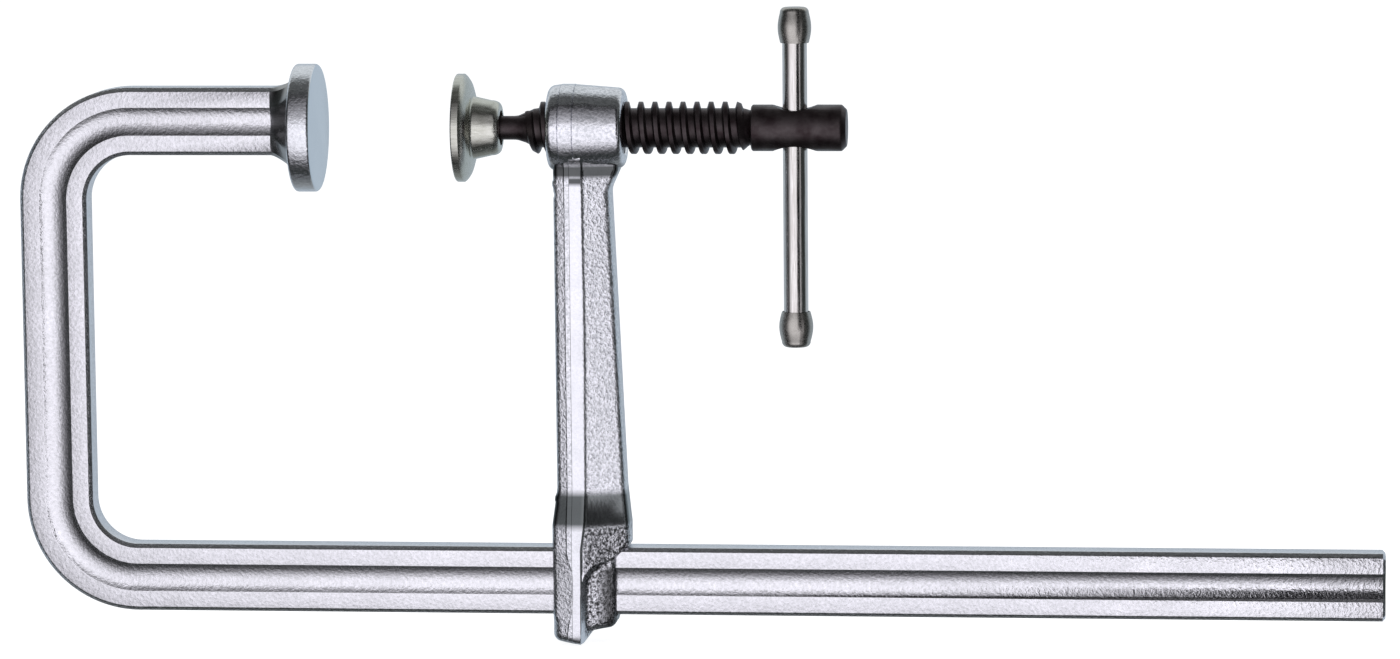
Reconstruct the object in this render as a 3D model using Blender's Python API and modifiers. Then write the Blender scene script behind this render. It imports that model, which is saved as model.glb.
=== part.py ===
"""Screw clamp: a bent profiled bar, a forged arm that slides on it and a trapezoidal clamping screw.

Units are metres, +Z is up. The origin is the centre of the fixed anvil's clamping face.
+X runs along the screw axis, away from the anvil and towards the screw's head.
+Z points from the rail to the screw axis, and +Y goes through the thickness of the rail.
"""

import math

import bmesh
import bpy
from mathutils import Matrix, Vector

MM = 0.001

# Capacity of the clamp, and how far its jaws stand open
CAPACITY = 250.0 * MM
THROAT_HEIGHT = 120.0 * MM
BOW_DEPTH = 60.5 * MM
JAW_GAP = 39.9 * MM

# Clearances between the pieces
TOUCH_GAP = 0.3 * MM
RAIL_PLAY = 0.35 * MM
THREAD_PLAY = 0.3 * MM
BAR_PLAY = 0.3 * MM

# Profiled bar that is bent into the bow and the rail
BAR_HEIGHT = 19.4 * MM
BAR_THICKNESS = 9.5 * MM
BAR_CHAMFER = 1.15 * MM
GROOVE_WIDTH = 8.0 * MM
GROOVE_DEPTH = 1.3 * MM
BEND_INNER_RADIUS = 13.0 * MM
UPPER_BAR_OFFSET = 2.1 * MM
RAIL_BEYOND_CAPACITY = 53.0 * MM
RAIL_END_CHAMFER = 0.8 * MM

# Fixed anvil and the neck that carries it, which flares from the bar's section into a round
ANVIL_RADIUS = 18.25 * MM
ANVIL_THICKNESS = 6.6 * MM
ANVIL_ROUNDING = 0.9 * MM
NECK_LENGTH = 6.4 * MM
NECK_RADIUS = 13.4 * MM
NECK_UPSET = 0.3 * MM
NECK_END_OFFSET = 1.2 * MM
NECK_FLARE_POWER = 1.6
NECK_CORNER_POWER = 4.0
TENON_RADIUS = 6.0 * MM
TENON_LENGTH = 4.0 * MM

# Ball of the screw, the neck behind it and the flare up to the thread
BALL_RADIUS = 5.4 * MM
BALL_NECK_RADIUS = 3.4 * MM
BALL_NECK_LENGTH = 9.2 * MM
FLARE_LENGTH = 6.0 * MM
FLARE_POWER = 1.8

# Right-hand trapezoidal thread, its start and the relief groove before the head
THREAD_RADIUS = 7.45 * MM
THREAD_DEPTH = 1.85 * MM
THREAD_LENGTH = 61.9 * MM
PITCH = 4.0 * MM
CREST_WIDTH = 1.3 * MM
FLANK_ANGLE = math.radians(15.0)
CREST_ON_TOP = 35.5 * MM
SHEET_START = 1.8 * MM
SHEET_END = 0.2 * MM
START_CHAMFER_SETBACK = 4.4 * MM
START_CHAMFER_RADIUS = 6.0 * MM
START_CHAMFER_SLOPE = 0.55
RELIEF_RADIUS = 4.9 * MM
RELIEF_WIDTH = 0.6 * MM
RELIEF_SLOPE = 0.86
NUT_MOUTH_CHAMFER = 0.5 * MM

# Head of the screw, with a cross hole between two saddles
HEAD_LENGTH = 27.0 * MM
HEAD_RADIUS = 6.6 * MM
HEAD_CHAMFER = 1.4 * MM
HEAD_SHOULDER_CHAMFER = 0.4 * MM
CROSS_HOLE_SETBACK = 12.3 * MM
SADDLE_MARGIN = 2.6 * MM
SADDLE_DEPTH = 1.55 * MM

# Tommy bar and its two knobs
TOMMY_RADIUS = 3.5 * MM
TOMMY_LENGTH = 96.6 * MM
TOMMY_ABOVE_AXIS = 34.2 * MM
TOMMY_CHAMFER = 0.4 * MM
KNOB_LENGTH = 10.1 * MM
KNOB_WALL = 2.6 * MM
KNOB_END_INSET = 0.9 * MM
KNOB_SHOULDER = 1.5 * MM
KNOB_SHOULDER_WALL = 0.3 * MM
KNOB_MOUTH_WALL = 0.25 * MM
TOP_KNOB_BELLY = 0.95 * MM
BOTTOM_KNOB_BELLY = 1.05 * MM

# Wire ring that holds the ball in the pad
RING_INSET = 0.05 * MM
RING_WIRE_RADIUS = 0.55 * MM
RING_ROOM = 1.5 * MM
RING_HEADROOM = 0.8 * MM

# Swivelling pressure pad: its flange, its hub and the lip that is rolled in behind the ring
PAD_RADIUS = 15.4 * MM
PAD_EDGE_CHAMFER = 0.5 * MM
PAD_RIM = 1.3 * MM
PAD_FLOOR = 1.4 * MM
PAD_STEP_WIDTH = 2.75 * MM
PAD_STEP_SETBACK = 4.1 * MM
PAD_DISH_BULGE = 0.5 * MM
HUB_SETBACK = 4.5 * MM
HUB_FILLET_RADIUS = 0.9 * MM
HUB_WALL = 1.15 * MM
HUB_TAPER = 1.0 * MM
LIP_LENGTH = 2.5 * MM
LIP_THICKNESS = 0.8 * MM
LIP_CATCH = 0.35 * MM
LIP_ROLL = 1.2 * MM

# Boss of the sliding arm, which holds the nut thread, and its distance behind the pad's face
SCREW_REACH = 26.4 * MM
BOSS_LENGTH = 19.9 * MM
BOSS_RADIUS = 12.5 * MM
BOSS_LEFT_DRAFT = 0.6 * MM
BOSS_RIGHT_DRAFT = 1.0 * MM
BOSS_ROUNDING = 1.6 * MM

# Parting land of the forging, a flat strip down both sides of the arm
LAND_SETBACK = 5.3 * MM
LAND_WIDTH = 3.8 * MM

# Beam of the arm in side view, from the boss's left face
BEAM_TOP_SETBACK = 0.9 * MM
BEAM_TOP_WIDTH = 15.7 * MM
BEAM_FOOT_SETBACK = 1.8 * MM
BEAM_FOOT_WIDTH = 18.8 * MM
BOSS_FILLET_REACH = 2.6 * MM
BOSS_FILLET_LIFT = 0.8 * MM
BOSS_FILLET_DROP = 4.8 * MM
BOSS_FILLET_RADIUS = 5.0 * MM

# Shoulder, rail clamp and foot of the arm in side view
SHOULDER_LIFT = 7.0 * MM
SHOULDER_LENGTH = 10.5 * MM
SHOULDER_TOP_RADIUS = 8.0 * MM
SHOULDER_FOOT_RADIUS = 4.0 * MM
CLAMP_SETBACK = 0.6 * MM
CLAMP_WIDTH = 17.9 * MM
BEARING_WIDTH = 21.8 * MM
BEARING_LIFT = 0.8 * MM
BEARING_DROP = 2.6 * MM
BEARING_CORNER_RADIUS = 1.2 * MM
BEARING_NOTCH_RADIUS = 0.8 * MM
HEEL_DEPTH = 4.2 * MM
HEEL_SETBACK = 11.3 * MM
HEEL_RISE = 0.8 * MM
HEEL_CORNER_RADIUS = 2.6 * MM
TOE_DEPTH = 8.2 * MM
TOE_SETBACK = 8.3 * MM
TOE_RISE = 1.4 * MM
TOE_CORNER_RADIUS = 2.4 * MM
SOLE_CORNER_RADIUS = 1.5 * MM

# Depth of the arm, from its middle plane to the parting land, and its draft to both sides
BEAM_HALF_DEPTH = 8.0 * MM
CLAMP_WALL = 5.7 * MM
LEFT_DRAFT = 0.40
RIGHT_DRAFT = 0.26
LEFT_BULGE = 0.35
LEFT_EDGE_ROUNDING = 0.5 * MM
FOOT_ROUNDING = 2.6 * MM
BOSS_BLEND_DROP = 6.5 * MM
BOSS_BLEND_LENGTH = 10.5 * MM
BOSS_BLEND_DEPTH = 2.2 * MM
EDGE_ROUNDING = 0.8 * MM

# Recess that thins the lower right of the rail clamp
RECESS_WALL = 3.1 * MM
RECESS_RIM_OFFSET = 0.7 * MM
RECESS_RIM_LEAN = 0.5 * MM
RECESS_TOP_DROP = 2.8 * MM
RECESS_CORNER_DROP = 4.9 * MM
RECESS_RISE = 6.2 * MM
RECESS_TOP_RADIUS = 4.0 * MM
RECESS_CORNER_RADIUS = 8.0 * MM

# How far a cutter or a trimming shape runs past what it works on
CUTTER_OVERRUN = 6.0 * MM
MOUTH_OVERRUN = 1.0 * MM
PLAN_MARGIN = 2.0 * MM

# Facets
DISC_STEPS = 44
TURNED_STEPS = 32
KNOB_STEPS = 20
RING_WIRE_STEPS = 6
SADDLE_STEPS = 96
THREAD_STEPS = 24
RUN_OUT_STEPS = 2
FLARE_STEPS = 3
BALL_STEPS = 12
SOCKET_STEPS = 6
BELLY_STEPS = 8
DISH_STEPS = 3
EDGE_STEPS = 4
FILLET_STEPS = 3
GROOVE_STEPS = 6
BEND_STEPS = 14
NECK_STATIONS = 5
CORNER_STEPS = 5
RECESS_CORNER_STEPS = 7
SHOULDER_STEPS = 6
BOSS_BLEND_STEPS = 4

# Places of the frame that follow from the sizes above
RAIL_TOP_Z = -THROAT_HEIGHT
RAIL_MIDDLE_Z = RAIL_TOP_Z - BAR_HEIGHT / 2
RAIL_BOTTOM_Z = RAIL_TOP_Z - BAR_HEIGHT
RAIL_END_X = CAPACITY + RAIL_BEYOND_CAPACITY
BOW_MIDDLE_X = -ANVIL_THICKNESS - BOW_DEPTH - BAR_HEIGHT / 2
NECK_START_X = -ANVIL_THICKNESS - TOUCH_GAP - NECK_LENGTH

# Places of the pad, its ring and the screw
PAD_FACE_X = JAW_GAP
BALL_X = PAD_FACE_X + PAD_FLOOR + TOUCH_GAP + BALL_RADIUS
RING_RADIUS = BALL_RADIUS - RING_INSET
RING_X = BALL_X + math.sqrt((BALL_RADIUS + TOUCH_GAP + RING_WIRE_RADIUS) ** 2 - RING_RADIUS ** 2)
RING_CHAMBER_RADIUS = RING_RADIUS + RING_WIRE_RADIUS + RING_HEADROOM
LIP_OPENING_RADIUS = RING_RADIUS - LIP_CATCH
FLARE_START_X = BALL_X + BALL_NECK_LENGTH
FLARE_END_X = FLARE_START_X + FLARE_LENGTH
HEAD_START_X = FLARE_END_X + THREAD_LENGTH
HEAD_END_X = HEAD_START_X + HEAD_LENGTH
ROOT_RADIUS = THREAD_RADIUS - THREAD_DEPTH
CREST_ON_TOP_X = HEAD_START_X - CREST_ON_TOP

# Places of the tommy bar
TOMMY_X = HEAD_START_X + CROSS_HOLE_SETBACK
TOMMY_TOP_Z = TOMMY_ABOVE_AXIS
TOMMY_BOTTOM_Z = TOMMY_TOP_Z - TOMMY_LENGTH
TOMMY_HOLE_RADIUS = TOMMY_RADIUS + BAR_PLAY
KNOB_BORE_RADIUS = TOMMY_RADIUS + TOUCH_GAP

# Places of the arm
BOSS_LEFT_X = PAD_FACE_X + SCREW_REACH
BOSS_RIGHT_X = BOSS_LEFT_X + BOSS_LENGTH
LAND_LEFT_X = BOSS_LEFT_X + LAND_SETBACK
LAND_RIGHT_X = LAND_LEFT_X + LAND_WIDTH
CLAMP_LEFT_X = BOSS_LEFT_X + CLAMP_SETBACK
CLAMP_RIGHT_X = CLAMP_LEFT_X + CLAMP_WIDTH
BEARING_RIGHT_X = CLAMP_LEFT_X + BEARING_WIDTH
TOE_Z = RAIL_BOTTOM_Z - TOE_DEPTH
HEEL_Z = RAIL_BOTTOM_Z - HEEL_DEPTH
SHOULDER_FOOT_Z = RAIL_TOP_Z + SHOULDER_LIFT
SHOULDER_TOP_Z = SHOULDER_FOOT_Z + SHOULDER_LENGTH
SLOT_HALF_DEPTH = BAR_THICKNESS / 2 + RAIL_PLAY
CLAMP_HALF_DEPTH = SLOT_HALF_DEPTH + CLAMP_WALL
RECESS_HALF_DEPTH = SLOT_HALF_DEPTH + RECESS_WALL

PARTS_COLLECTION = "screw_clamp"
CUTTERS_COLLECTION = "cutters"

AXIS_X = Matrix.Rotation(math.pi / 2, 4, "Y")


def clear_scene():
    """Remove every object that the file opened with."""
    for item in list(bpy.data.objects):
        bpy.data.objects.remove(item, do_unlink=True)


def collection(name):
    """A collection of this name under the scene's own."""
    found = bpy.data.collections.get(name)
    if found is None:
        found = bpy.data.collections.new(name)
        bpy.context.scene.collection.children.link(found)
    return found


def material(name, colour, roughness, metallic=1.0):
    """A plain metal surface."""
    surface = bpy.data.materials.new(name)
    surface.use_nodes = True
    shader = surface.node_tree.nodes["Principled BSDF"]
    shader.inputs["Base Color"].default_value = (*colour, 1.0)
    shader.inputs["Roughness"].default_value = roughness
    shader.inputs["Metallic"].default_value = metallic
    return surface


def add_part(name, data, surface, location=(0.0, 0.0, 0.0)):
    """A named piece of the clamp, with its origin at the given place."""
    piece = bpy.data.objects.new(name, data)
    piece.location = location
    data.materials.append(surface)
    collection(PARTS_COLLECTION).objects.link(piece)
    return piece


def add_cutter(name, data, location=(0.0, 0.0, 0.0)):
    """A shape that only cuts, joins or trims another one."""
    piece = bpy.data.objects.new(name, data)
    piece.location = location
    piece.hide_render = True
    piece.display_type = "WIRE"
    collection(CUTTERS_COLLECTION).objects.link(piece)
    return piece


def combine(piece, other, operation):
    """Cut, join or trim a piece with another shape."""
    step = piece.modifiers.new(f"{operation.lower()} {other.name}", "BOOLEAN")
    step.operation = operation
    step.solver = "EXACT"
    step.object = other


def smooth(piece, angle=math.radians(30.0)):
    """Shade the round stretches smooth and keep the edges sharp."""
    piece.data.shade_smooth()
    piece.data.set_sharp_from_angle(angle=angle)


def evaluated_mesh(piece):
    """The mesh of a piece with its modifiers worked in, and with welded caps."""
    bpy.context.view_layer.update()
    depsgraph = bpy.context.evaluated_depsgraph_get()
    data = bpy.data.meshes.new_from_object(piece.evaluated_get(depsgraph))
    working = bmesh.new()
    working.from_mesh(data)
    bmesh.ops.remove_doubles(working, verts=working.verts, dist=1e-6)
    bmesh.ops.recalc_face_normals(working, faces=working.faces)
    working.to_mesh(data)
    working.free()
    return data


def arc(centre, radius, start, end, steps):
    """Points of an arc in a plane, from one angle to the other, both ends included."""
    points = []
    for index in range(steps + 1):
        angle = start + (end - start) * index / steps
        points.append((centre[0] + radius * math.cos(angle), centre[1] + radius * math.sin(angle)))
    return points


def rounded_outline(corners, steps=CORNER_STEPS):
    """A closed outline through corners (x, z, radius), each rounded to its own radius."""
    outline = []
    count = len(corners)
    for index, (x, z, radius) in enumerate(corners):
        corner = Vector((x, z))
        before = Vector(corners[index - 1][:2]) - corner
        after = Vector(corners[(index + 1) % count][:2]) - corner
        if radius == 0.0:
            outline.append((x, z))
            continue
        half_angle = before.angle(after) / 2
        reach = radius / math.tan(half_angle)
        inward = (before.normalized() + after.normalized()).normalized()
        middle = corner + inward * radius / math.sin(half_angle)
        first = corner + before.normalized() * reach - middle
        last = corner + after.normalized() * reach - middle
        turn = first.angle_signed(last)
        for step in range(steps + 1):
            point = middle + Matrix.Rotation(-turn * step / steps, 2) @ first
            outline.append((point.x, point.y))
    return outline


def turned_mesh(name, profile, steps, axis_turn=AXIS_X):
    """A solid turned about an axis, from (distance along the axis, radius) points.

    The profile runs from the far end of the axis back to its near end, so that the
    Screw modifier gives faces that point out.
    """
    data = bpy.data.meshes.new(name)
    points = [(radius, 0.0, along) for along, radius in profile]
    edges = [(index, index + 1) for index in range(len(points) - 1)]
    data.from_pydata(points, edges, [])
    blank = add_cutter(f"{name}_profile", data)
    turn = blank.modifiers.new("turn", "SCREW")
    turn.axis = "Z"
    turn.steps = steps
    turn.render_steps = steps
    turn.use_merge_vertices = True
    turn.merge_threshold = 1e-6
    solid = evaluated_mesh(blank)
    solid.name = name
    solid.transform(axis_turn)
    bpy.data.objects.remove(blank, do_unlink=True)
    return solid


def extruded_mesh(name, outline, half_depth, middle=0.0):
    """A side-view outline in X and Z, thickened by the half depth to both sides along Y."""
    curve = bpy.data.curves.new(name, "CURVE")
    curve.dimensions = "2D"
    curve.fill_mode = "BOTH"
    curve.extrude = half_depth
    spline = curve.splines.new("POLY")
    spline.points.add(len(outline) - 1)
    for point, (x, z) in zip(spline.points, outline):
        point.co = (x, z, 0.0, 1.0)
    spline.use_cyclic_u = True
    blank = add_cutter(f"{name}_outline", curve)
    solid = evaluated_mesh(blank)
    solid.name = name
    solid.transform(Matrix.Translation((0.0, middle, 0.0)) @ Matrix.Rotation(math.pi / 2, 4, "X"))
    bpy.data.objects.remove(blank, do_unlink=True)
    return solid


def lofted_mesh(name, rings):
    """A closed solid through rings that have the same number of points."""
    working = bmesh.new()
    loops = [[working.verts.new(point) for point in ring] for ring in rings]
    count = len(loops[0])
    for lower, upper in zip(loops, loops[1:]):
        for index in range(count):
            after = (index + 1) % count
            working.faces.new((lower[index], lower[after], upper[after], upper[index]))
    working.faces.new(loops[0])
    working.faces.new(loops[-1])
    bmesh.ops.recalc_face_normals(working, faces=working.faces)
    data = bpy.data.meshes.new(name)
    working.to_mesh(data)
    working.free()
    return data


def ring_points(x, radius, first_angle):
    """Points of a circle round the X axis, counted from the top towards the viewer's side."""
    points = []
    for index in range(THREAD_STEPS):
        angle = first_angle + 2 * math.pi * index / THREAD_STEPS
        points.append((x, -radius * math.sin(angle), radius * math.cos(angle)))
    return points


def threaded_mesh(name, start_x, end_x, left_profile, right_profile, play=0.0, envelope=None):
    """A turned solid with a right-hand trapezoidal ridge between its two plain ends.

    Both profiles hold (x, radius) points from the axis out to the thread's root. The sheet
    between them has one row of points per step round the helix, and each row ends where
    the row one turn later starts. The ridge fades in and out over the run-out steps.
    The play makes the solid larger all round, for cutting the nut thread. The envelope is
    a function of x and radius that keeps the thread within the shape it is cut from.
    """
    root = ROOT_RADIUS + play
    crest = CREST_WIDTH + 2 * play * (1 / math.cos(FLANK_ANGLE) - math.tan(FLANK_ANGLE))
    flank = THREAD_DEPTH * math.tan(FLANK_ANGLE)
    valley = PITCH - crest - 2 * flank
    offsets = (0.0, valley, valley + flank, valley + flank + crest)
    crest_offset = valley + flank + crest / 2
    first_step = round((start_x + crest_offset - CREST_ON_TOP_X) / PITCH * THREAD_STEPS)
    last = math.floor((end_x - start_x) / PITCH * THREAD_STEPS) - THREAD_STEPS

    working = bmesh.new()

    def add_point(step, offset, radius):
        angle = 2 * math.pi * (first_step + step) / THREAD_STEPS
        x = CREST_ON_TOP_X + PITCH * (first_step + step) / THREAD_STEPS - crest_offset + offset
        if envelope is not None:
            radius = envelope(x, radius)
        return working.verts.new((x, -radius * math.sin(angle), radius * math.cos(angle)))

    rows = []
    for step in range(last + THREAD_STEPS + 1):
        fade = max(0.0, min(1.0, step / RUN_OUT_STEPS, (last - step) / RUN_OUT_STEPS))
        ridge = root + THREAD_DEPTH * fade
        radii = (root, root, ridge, ridge)
        keep = offsets if step <= last else offsets[:1]
        rows.append([add_point(step, offset, radius) for offset, radius in zip(keep, radii)])
    for step in range(last):
        here = rows[step] + [rows[step + THREAD_STEPS][0]]
        there = rows[step + 1] + [rows[step + 1 + THREAD_STEPS][0]]
        for index in range(len(offsets)):
            working.faces.new((here[index], there[index], there[index + 1], here[index + 1]))

    def add_end(profile, edge, seam, step):
        """Close one end: plain rings out from the axis, then the last ring to the helical edge."""
        first_angle = 2 * math.pi * (first_step + step) / THREAD_STEPS
        tip = working.verts.new((profile[0][0], 0.0, 0.0))
        rings = []
        for x, radius in profile[1:]:
            rings.append([working.verts.new(point) for point in ring_points(x, radius, first_angle)])
        for index in range(THREAD_STEPS):
            after = (index + 1) % THREAD_STEPS
            working.faces.new((tip, rings[0][index], rings[0][after]))
            for inner, outer in zip(rings, rings[1:]):
                working.faces.new((inner[index], inner[after], outer[after], outer[index]))
            corners = [rings[-1][index], rings[-1][after], edge[index + 1], edge[index]]
            if seam[index]:
                corners = seam[index](corners)
            working.faces.new(corners)

    start_edge = [row[0] for row in rows[:THREAD_STEPS + 1]]
    end_edge = [row[0] for row in rows[last:]]
    start_seam = [None] * THREAD_STEPS
    start_seam[-1] = lambda corners: corners[:2] + rows[0] + corners[2:]
    end_seam = [None] * THREAD_STEPS
    end_seam[0] = lambda corners: corners + rows[last][1:] + [end_edge[-1]]
    add_end(left_profile, start_edge, start_seam, 0)
    add_end(right_profile, end_edge, end_seam, last)
    bmesh.ops.recalc_face_normals(working, faces=working.faces)
    data = bpy.data.meshes.new(name)
    working.to_mesh(data)
    working.free()
    return data


def bar_profile():
    """Cross-section of the bar: chamfered corners and a shallow round groove in both sides."""
    half_height = BAR_HEIGHT / 2
    half_thickness = BAR_THICKNESS / 2
    half_groove = GROOVE_WIDTH / 2
    groove_radius = (half_groove ** 2 + GROOVE_DEPTH ** 2) / (2 * GROOVE_DEPTH)
    spread = math.asin(half_groove / groove_radius)
    centre = half_thickness - GROOVE_DEPTH + groove_radius
    start = -math.pi / 2 - spread
    groove = arc((0.0, centre), groove_radius, start, start + 2 * spread, GROOVE_STEPS)
    side = [(-half_height, half_thickness - BAR_CHAMFER), (-half_height + BAR_CHAMFER, half_thickness)]
    side += groove
    side += [(half_height - BAR_CHAMFER, half_thickness), (half_height, half_thickness - BAR_CHAMFER)]
    return side + [(-height, -depth) for height, depth in side]


def bar_path():
    """Middle line of the bar in X and Z, from the neck round the bow to the end of the rail."""
    bend = BEND_INNER_RADIUS + BAR_HEIGHT / 2
    top = UPPER_BAR_OFFSET
    upper = arc((BOW_MIDDLE_X + bend, top - bend), bend, math.pi / 2, math.pi, BEND_STEPS)
    lower = arc((BOW_MIDDLE_X + bend, RAIL_MIDDLE_Z + bend), bend, math.pi, 3 * math.pi / 2, BEND_STEPS)
    start = [(NECK_START_X + NECK_LENGTH / 2, top)]
    end = [(RAIL_END_X - RAIL_END_CHAMFER, RAIL_MIDDLE_Z), (RAIL_END_X, RAIL_MIDDLE_Z)]
    return start + upper + lower + end


def bent_bar_mesh():
    """The bow and the rail: the profile swept along its path, with a chamfered rail end."""
    section = bpy.data.curves.new("bar_section", "CURVE")
    section.dimensions = "2D"
    outline = section.splines.new("POLY")
    profile = bar_profile()
    outline.points.add(len(profile) - 1)
    for point, (height, depth) in zip(outline.points, profile):
        point.co = (depth, height, 0.0, 1.0)
    outline.use_cyclic_u = True
    section_blank = add_cutter("bar_section", section)

    curve = bpy.data.curves.new("bar_path", "CURVE")
    curve.dimensions = "3D"
    curve.bevel_mode = "OBJECT"
    curve.bevel_object = section_blank
    curve.use_fill_caps = True
    route = curve.splines.new("POLY")
    path = bar_path()
    route.points.add(len(path) - 1)
    for point, (x, z) in zip(route.points, path):
        point.co = (x, 0.0, z, 1.0)
    route.points[-1].radius = 1.0 - 2 * RAIL_END_CHAMFER / BAR_HEIGHT
    blank = add_cutter("bar_path", curve)
    solid = evaluated_mesh(blank)
    solid.name = "bent_bar"
    bpy.data.objects.remove(blank, do_unlink=True)
    bpy.data.objects.remove(section_blank, do_unlink=True)
    return solid


def neck_mesh():
    """The upset end of the bar: from the bar's section, it flares into a round collar."""
    start_height = BAR_HEIGHT / 2 + NECK_UPSET
    start_thickness = BAR_THICKNESS / 2 + NECK_UPSET
    rings = []
    for station in range(NECK_STATIONS + 1):
        share = station / NECK_STATIONS
        flare = share ** NECK_FLARE_POWER
        height = start_height + (NECK_RADIUS - start_height) * flare
        thickness = start_thickness + (NECK_RADIUS - start_thickness) * math.sin(share * math.pi / 2)
        middle = UPPER_BAR_OFFSET + (NECK_END_OFFSET - UPPER_BAR_OFFSET) * share
        power = 2.0 + NECK_CORNER_POWER * (1.0 - share) ** 2
        ring = []
        for index in range(DISC_STEPS):
            angle = 2 * math.pi * index / DISC_STEPS
            across = math.copysign(abs(math.cos(angle)) ** (2 / power), math.cos(angle))
            up = math.copysign(abs(math.sin(angle)) ** (2 / power), math.sin(angle))
            ring.append((NECK_START_X + NECK_LENGTH * share, thickness * across, middle + height * up))
        rings.append(ring)
    return lofted_mesh("neck", rings)


def build_frame(surface):
    """The bow, the rail, the neck and the tenon that holds the anvil, in one piece."""
    frame = add_part("frame_rail", bent_bar_mesh(), surface)
    combine(frame, add_cutter("neck", neck_mesh()), "UNION")
    tenon_end = NECK_START_X + NECK_LENGTH + TENON_LENGTH
    tenon_profile = [
        (tenon_end, 0.0),
        (tenon_end, TENON_RADIUS),
        (NECK_START_X + NECK_LENGTH / 2, TENON_RADIUS),
        (NECK_START_X + NECK_LENGTH / 2, 0.0),
    ]
    combine(frame, add_cutter("tenon", turned_mesh("tenon", tenon_profile, TURNED_STEPS)), "UNION")
    frame.data = evaluated_mesh(frame)
    frame.modifiers.clear()
    smooth(frame)
    return frame


def build_anvil(surface):
    """The fixed round jaw, set on the neck's tenon."""
    socket_radius = TENON_RADIUS + TOUCH_GAP
    socket_bottom = NECK_START_X + NECK_LENGTH + TENON_LENGTH + TOUCH_GAP
    back = -ANVIL_THICKNESS
    corner = ANVIL_RADIUS - ANVIL_ROUNDING
    front_edge = arc((-ANVIL_ROUNDING, corner), ANVIL_ROUNDING, 0.0, math.pi / 2, EDGE_STEPS)
    back_edge = arc((back + ANVIL_ROUNDING, corner), ANVIL_ROUNDING, math.pi / 2, math.pi, EDGE_STEPS)
    profile = [(0.0, 0.0)] + front_edge + back_edge
    profile += [(back, socket_radius), (socket_bottom, socket_radius), (socket_bottom, 0.0)]
    anvil = add_part("anvil_disc", turned_mesh("anvil_disc", profile, DISC_STEPS), surface)
    smooth(anvil)
    return anvil


def arm_outline():
    """Side view of the arm from inside the boss to its foot, as corners with their radii."""
    inside_boss = -BOSS_RADIUS / 2
    beam_top_left = BOSS_LEFT_X + BEAM_TOP_SETBACK
    beam_top_right = beam_top_left + BEAM_TOP_WIDTH
    beam_foot_left = BOSS_LEFT_X + BEAM_FOOT_SETBACK
    beam_foot_right = beam_foot_left + BEAM_FOOT_WIDTH
    fillet_right = beam_top_right + BOSS_FILLET_REACH
    return [
        (beam_top_left, inside_boss, 0.0),
        (fillet_right, inside_boss, 0.0),
        (fillet_right, -BOSS_RADIUS + BOSS_FILLET_LIFT, 0.0),
        (beam_top_right, -BOSS_RADIUS - BOSS_FILLET_DROP, BOSS_FILLET_RADIUS),
        (beam_foot_right, SHOULDER_TOP_Z, SHOULDER_TOP_RADIUS),
        (BEARING_RIGHT_X, SHOULDER_FOOT_Z, SHOULDER_FOOT_RADIUS),
        (BEARING_RIGHT_X, RAIL_TOP_Z + BEARING_LIFT, BEARING_CORNER_RADIUS),
        (CLAMP_RIGHT_X, RAIL_TOP_Z - BEARING_DROP, BEARING_NOTCH_RADIUS),
        (CLAMP_RIGHT_X, HEEL_Z + HEEL_RISE, HEEL_CORNER_RADIUS),
        (CLAMP_LEFT_X + HEEL_SETBACK, HEEL_Z, SOLE_CORNER_RADIUS),
        (CLAMP_LEFT_X + TOE_SETBACK, TOE_Z, SOLE_CORNER_RADIUS),
        (CLAMP_LEFT_X, TOE_Z + TOE_RISE, TOE_CORNER_RADIUS),
        (CLAMP_LEFT_X, SHOULDER_FOOT_Z, SHOULDER_FOOT_RADIUS),
        (beam_foot_left, SHOULDER_TOP_Z, SHOULDER_FOOT_RADIUS),
    ]


def depth_ring(height, half_depth):
    """Plan section of the arm at one height: widest at the parting land, drafted to both sides."""
    left = CLAMP_LEFT_X - PLAN_MARGIN
    right = BEARING_RIGHT_X + PLAN_MARGIN
    land_width_left = LAND_LEFT_X - CLAMP_LEFT_X
    side_depth = half_depth - LEFT_DRAFT * land_width_left
    bulge_depth = half_depth - LEFT_DRAFT * LEFT_BULGE * land_width_left
    right_depth = half_depth - RIGHT_DRAFT * (right - LAND_RIGHT_X)
    front = [
        (left, side_depth - PLAN_MARGIN),
        (CLAMP_LEFT_X + LEFT_EDGE_ROUNDING, side_depth),
        (CLAMP_LEFT_X + land_width_left / 2, bulge_depth),
        (LAND_LEFT_X, half_depth),
        (LAND_RIGHT_X, half_depth),
        (right, right_depth),
    ]
    near = [(x, -depth, height) for x, depth in front]
    far = [(x, depth, height) for x, depth in reversed(front)]
    return near + far


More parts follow.
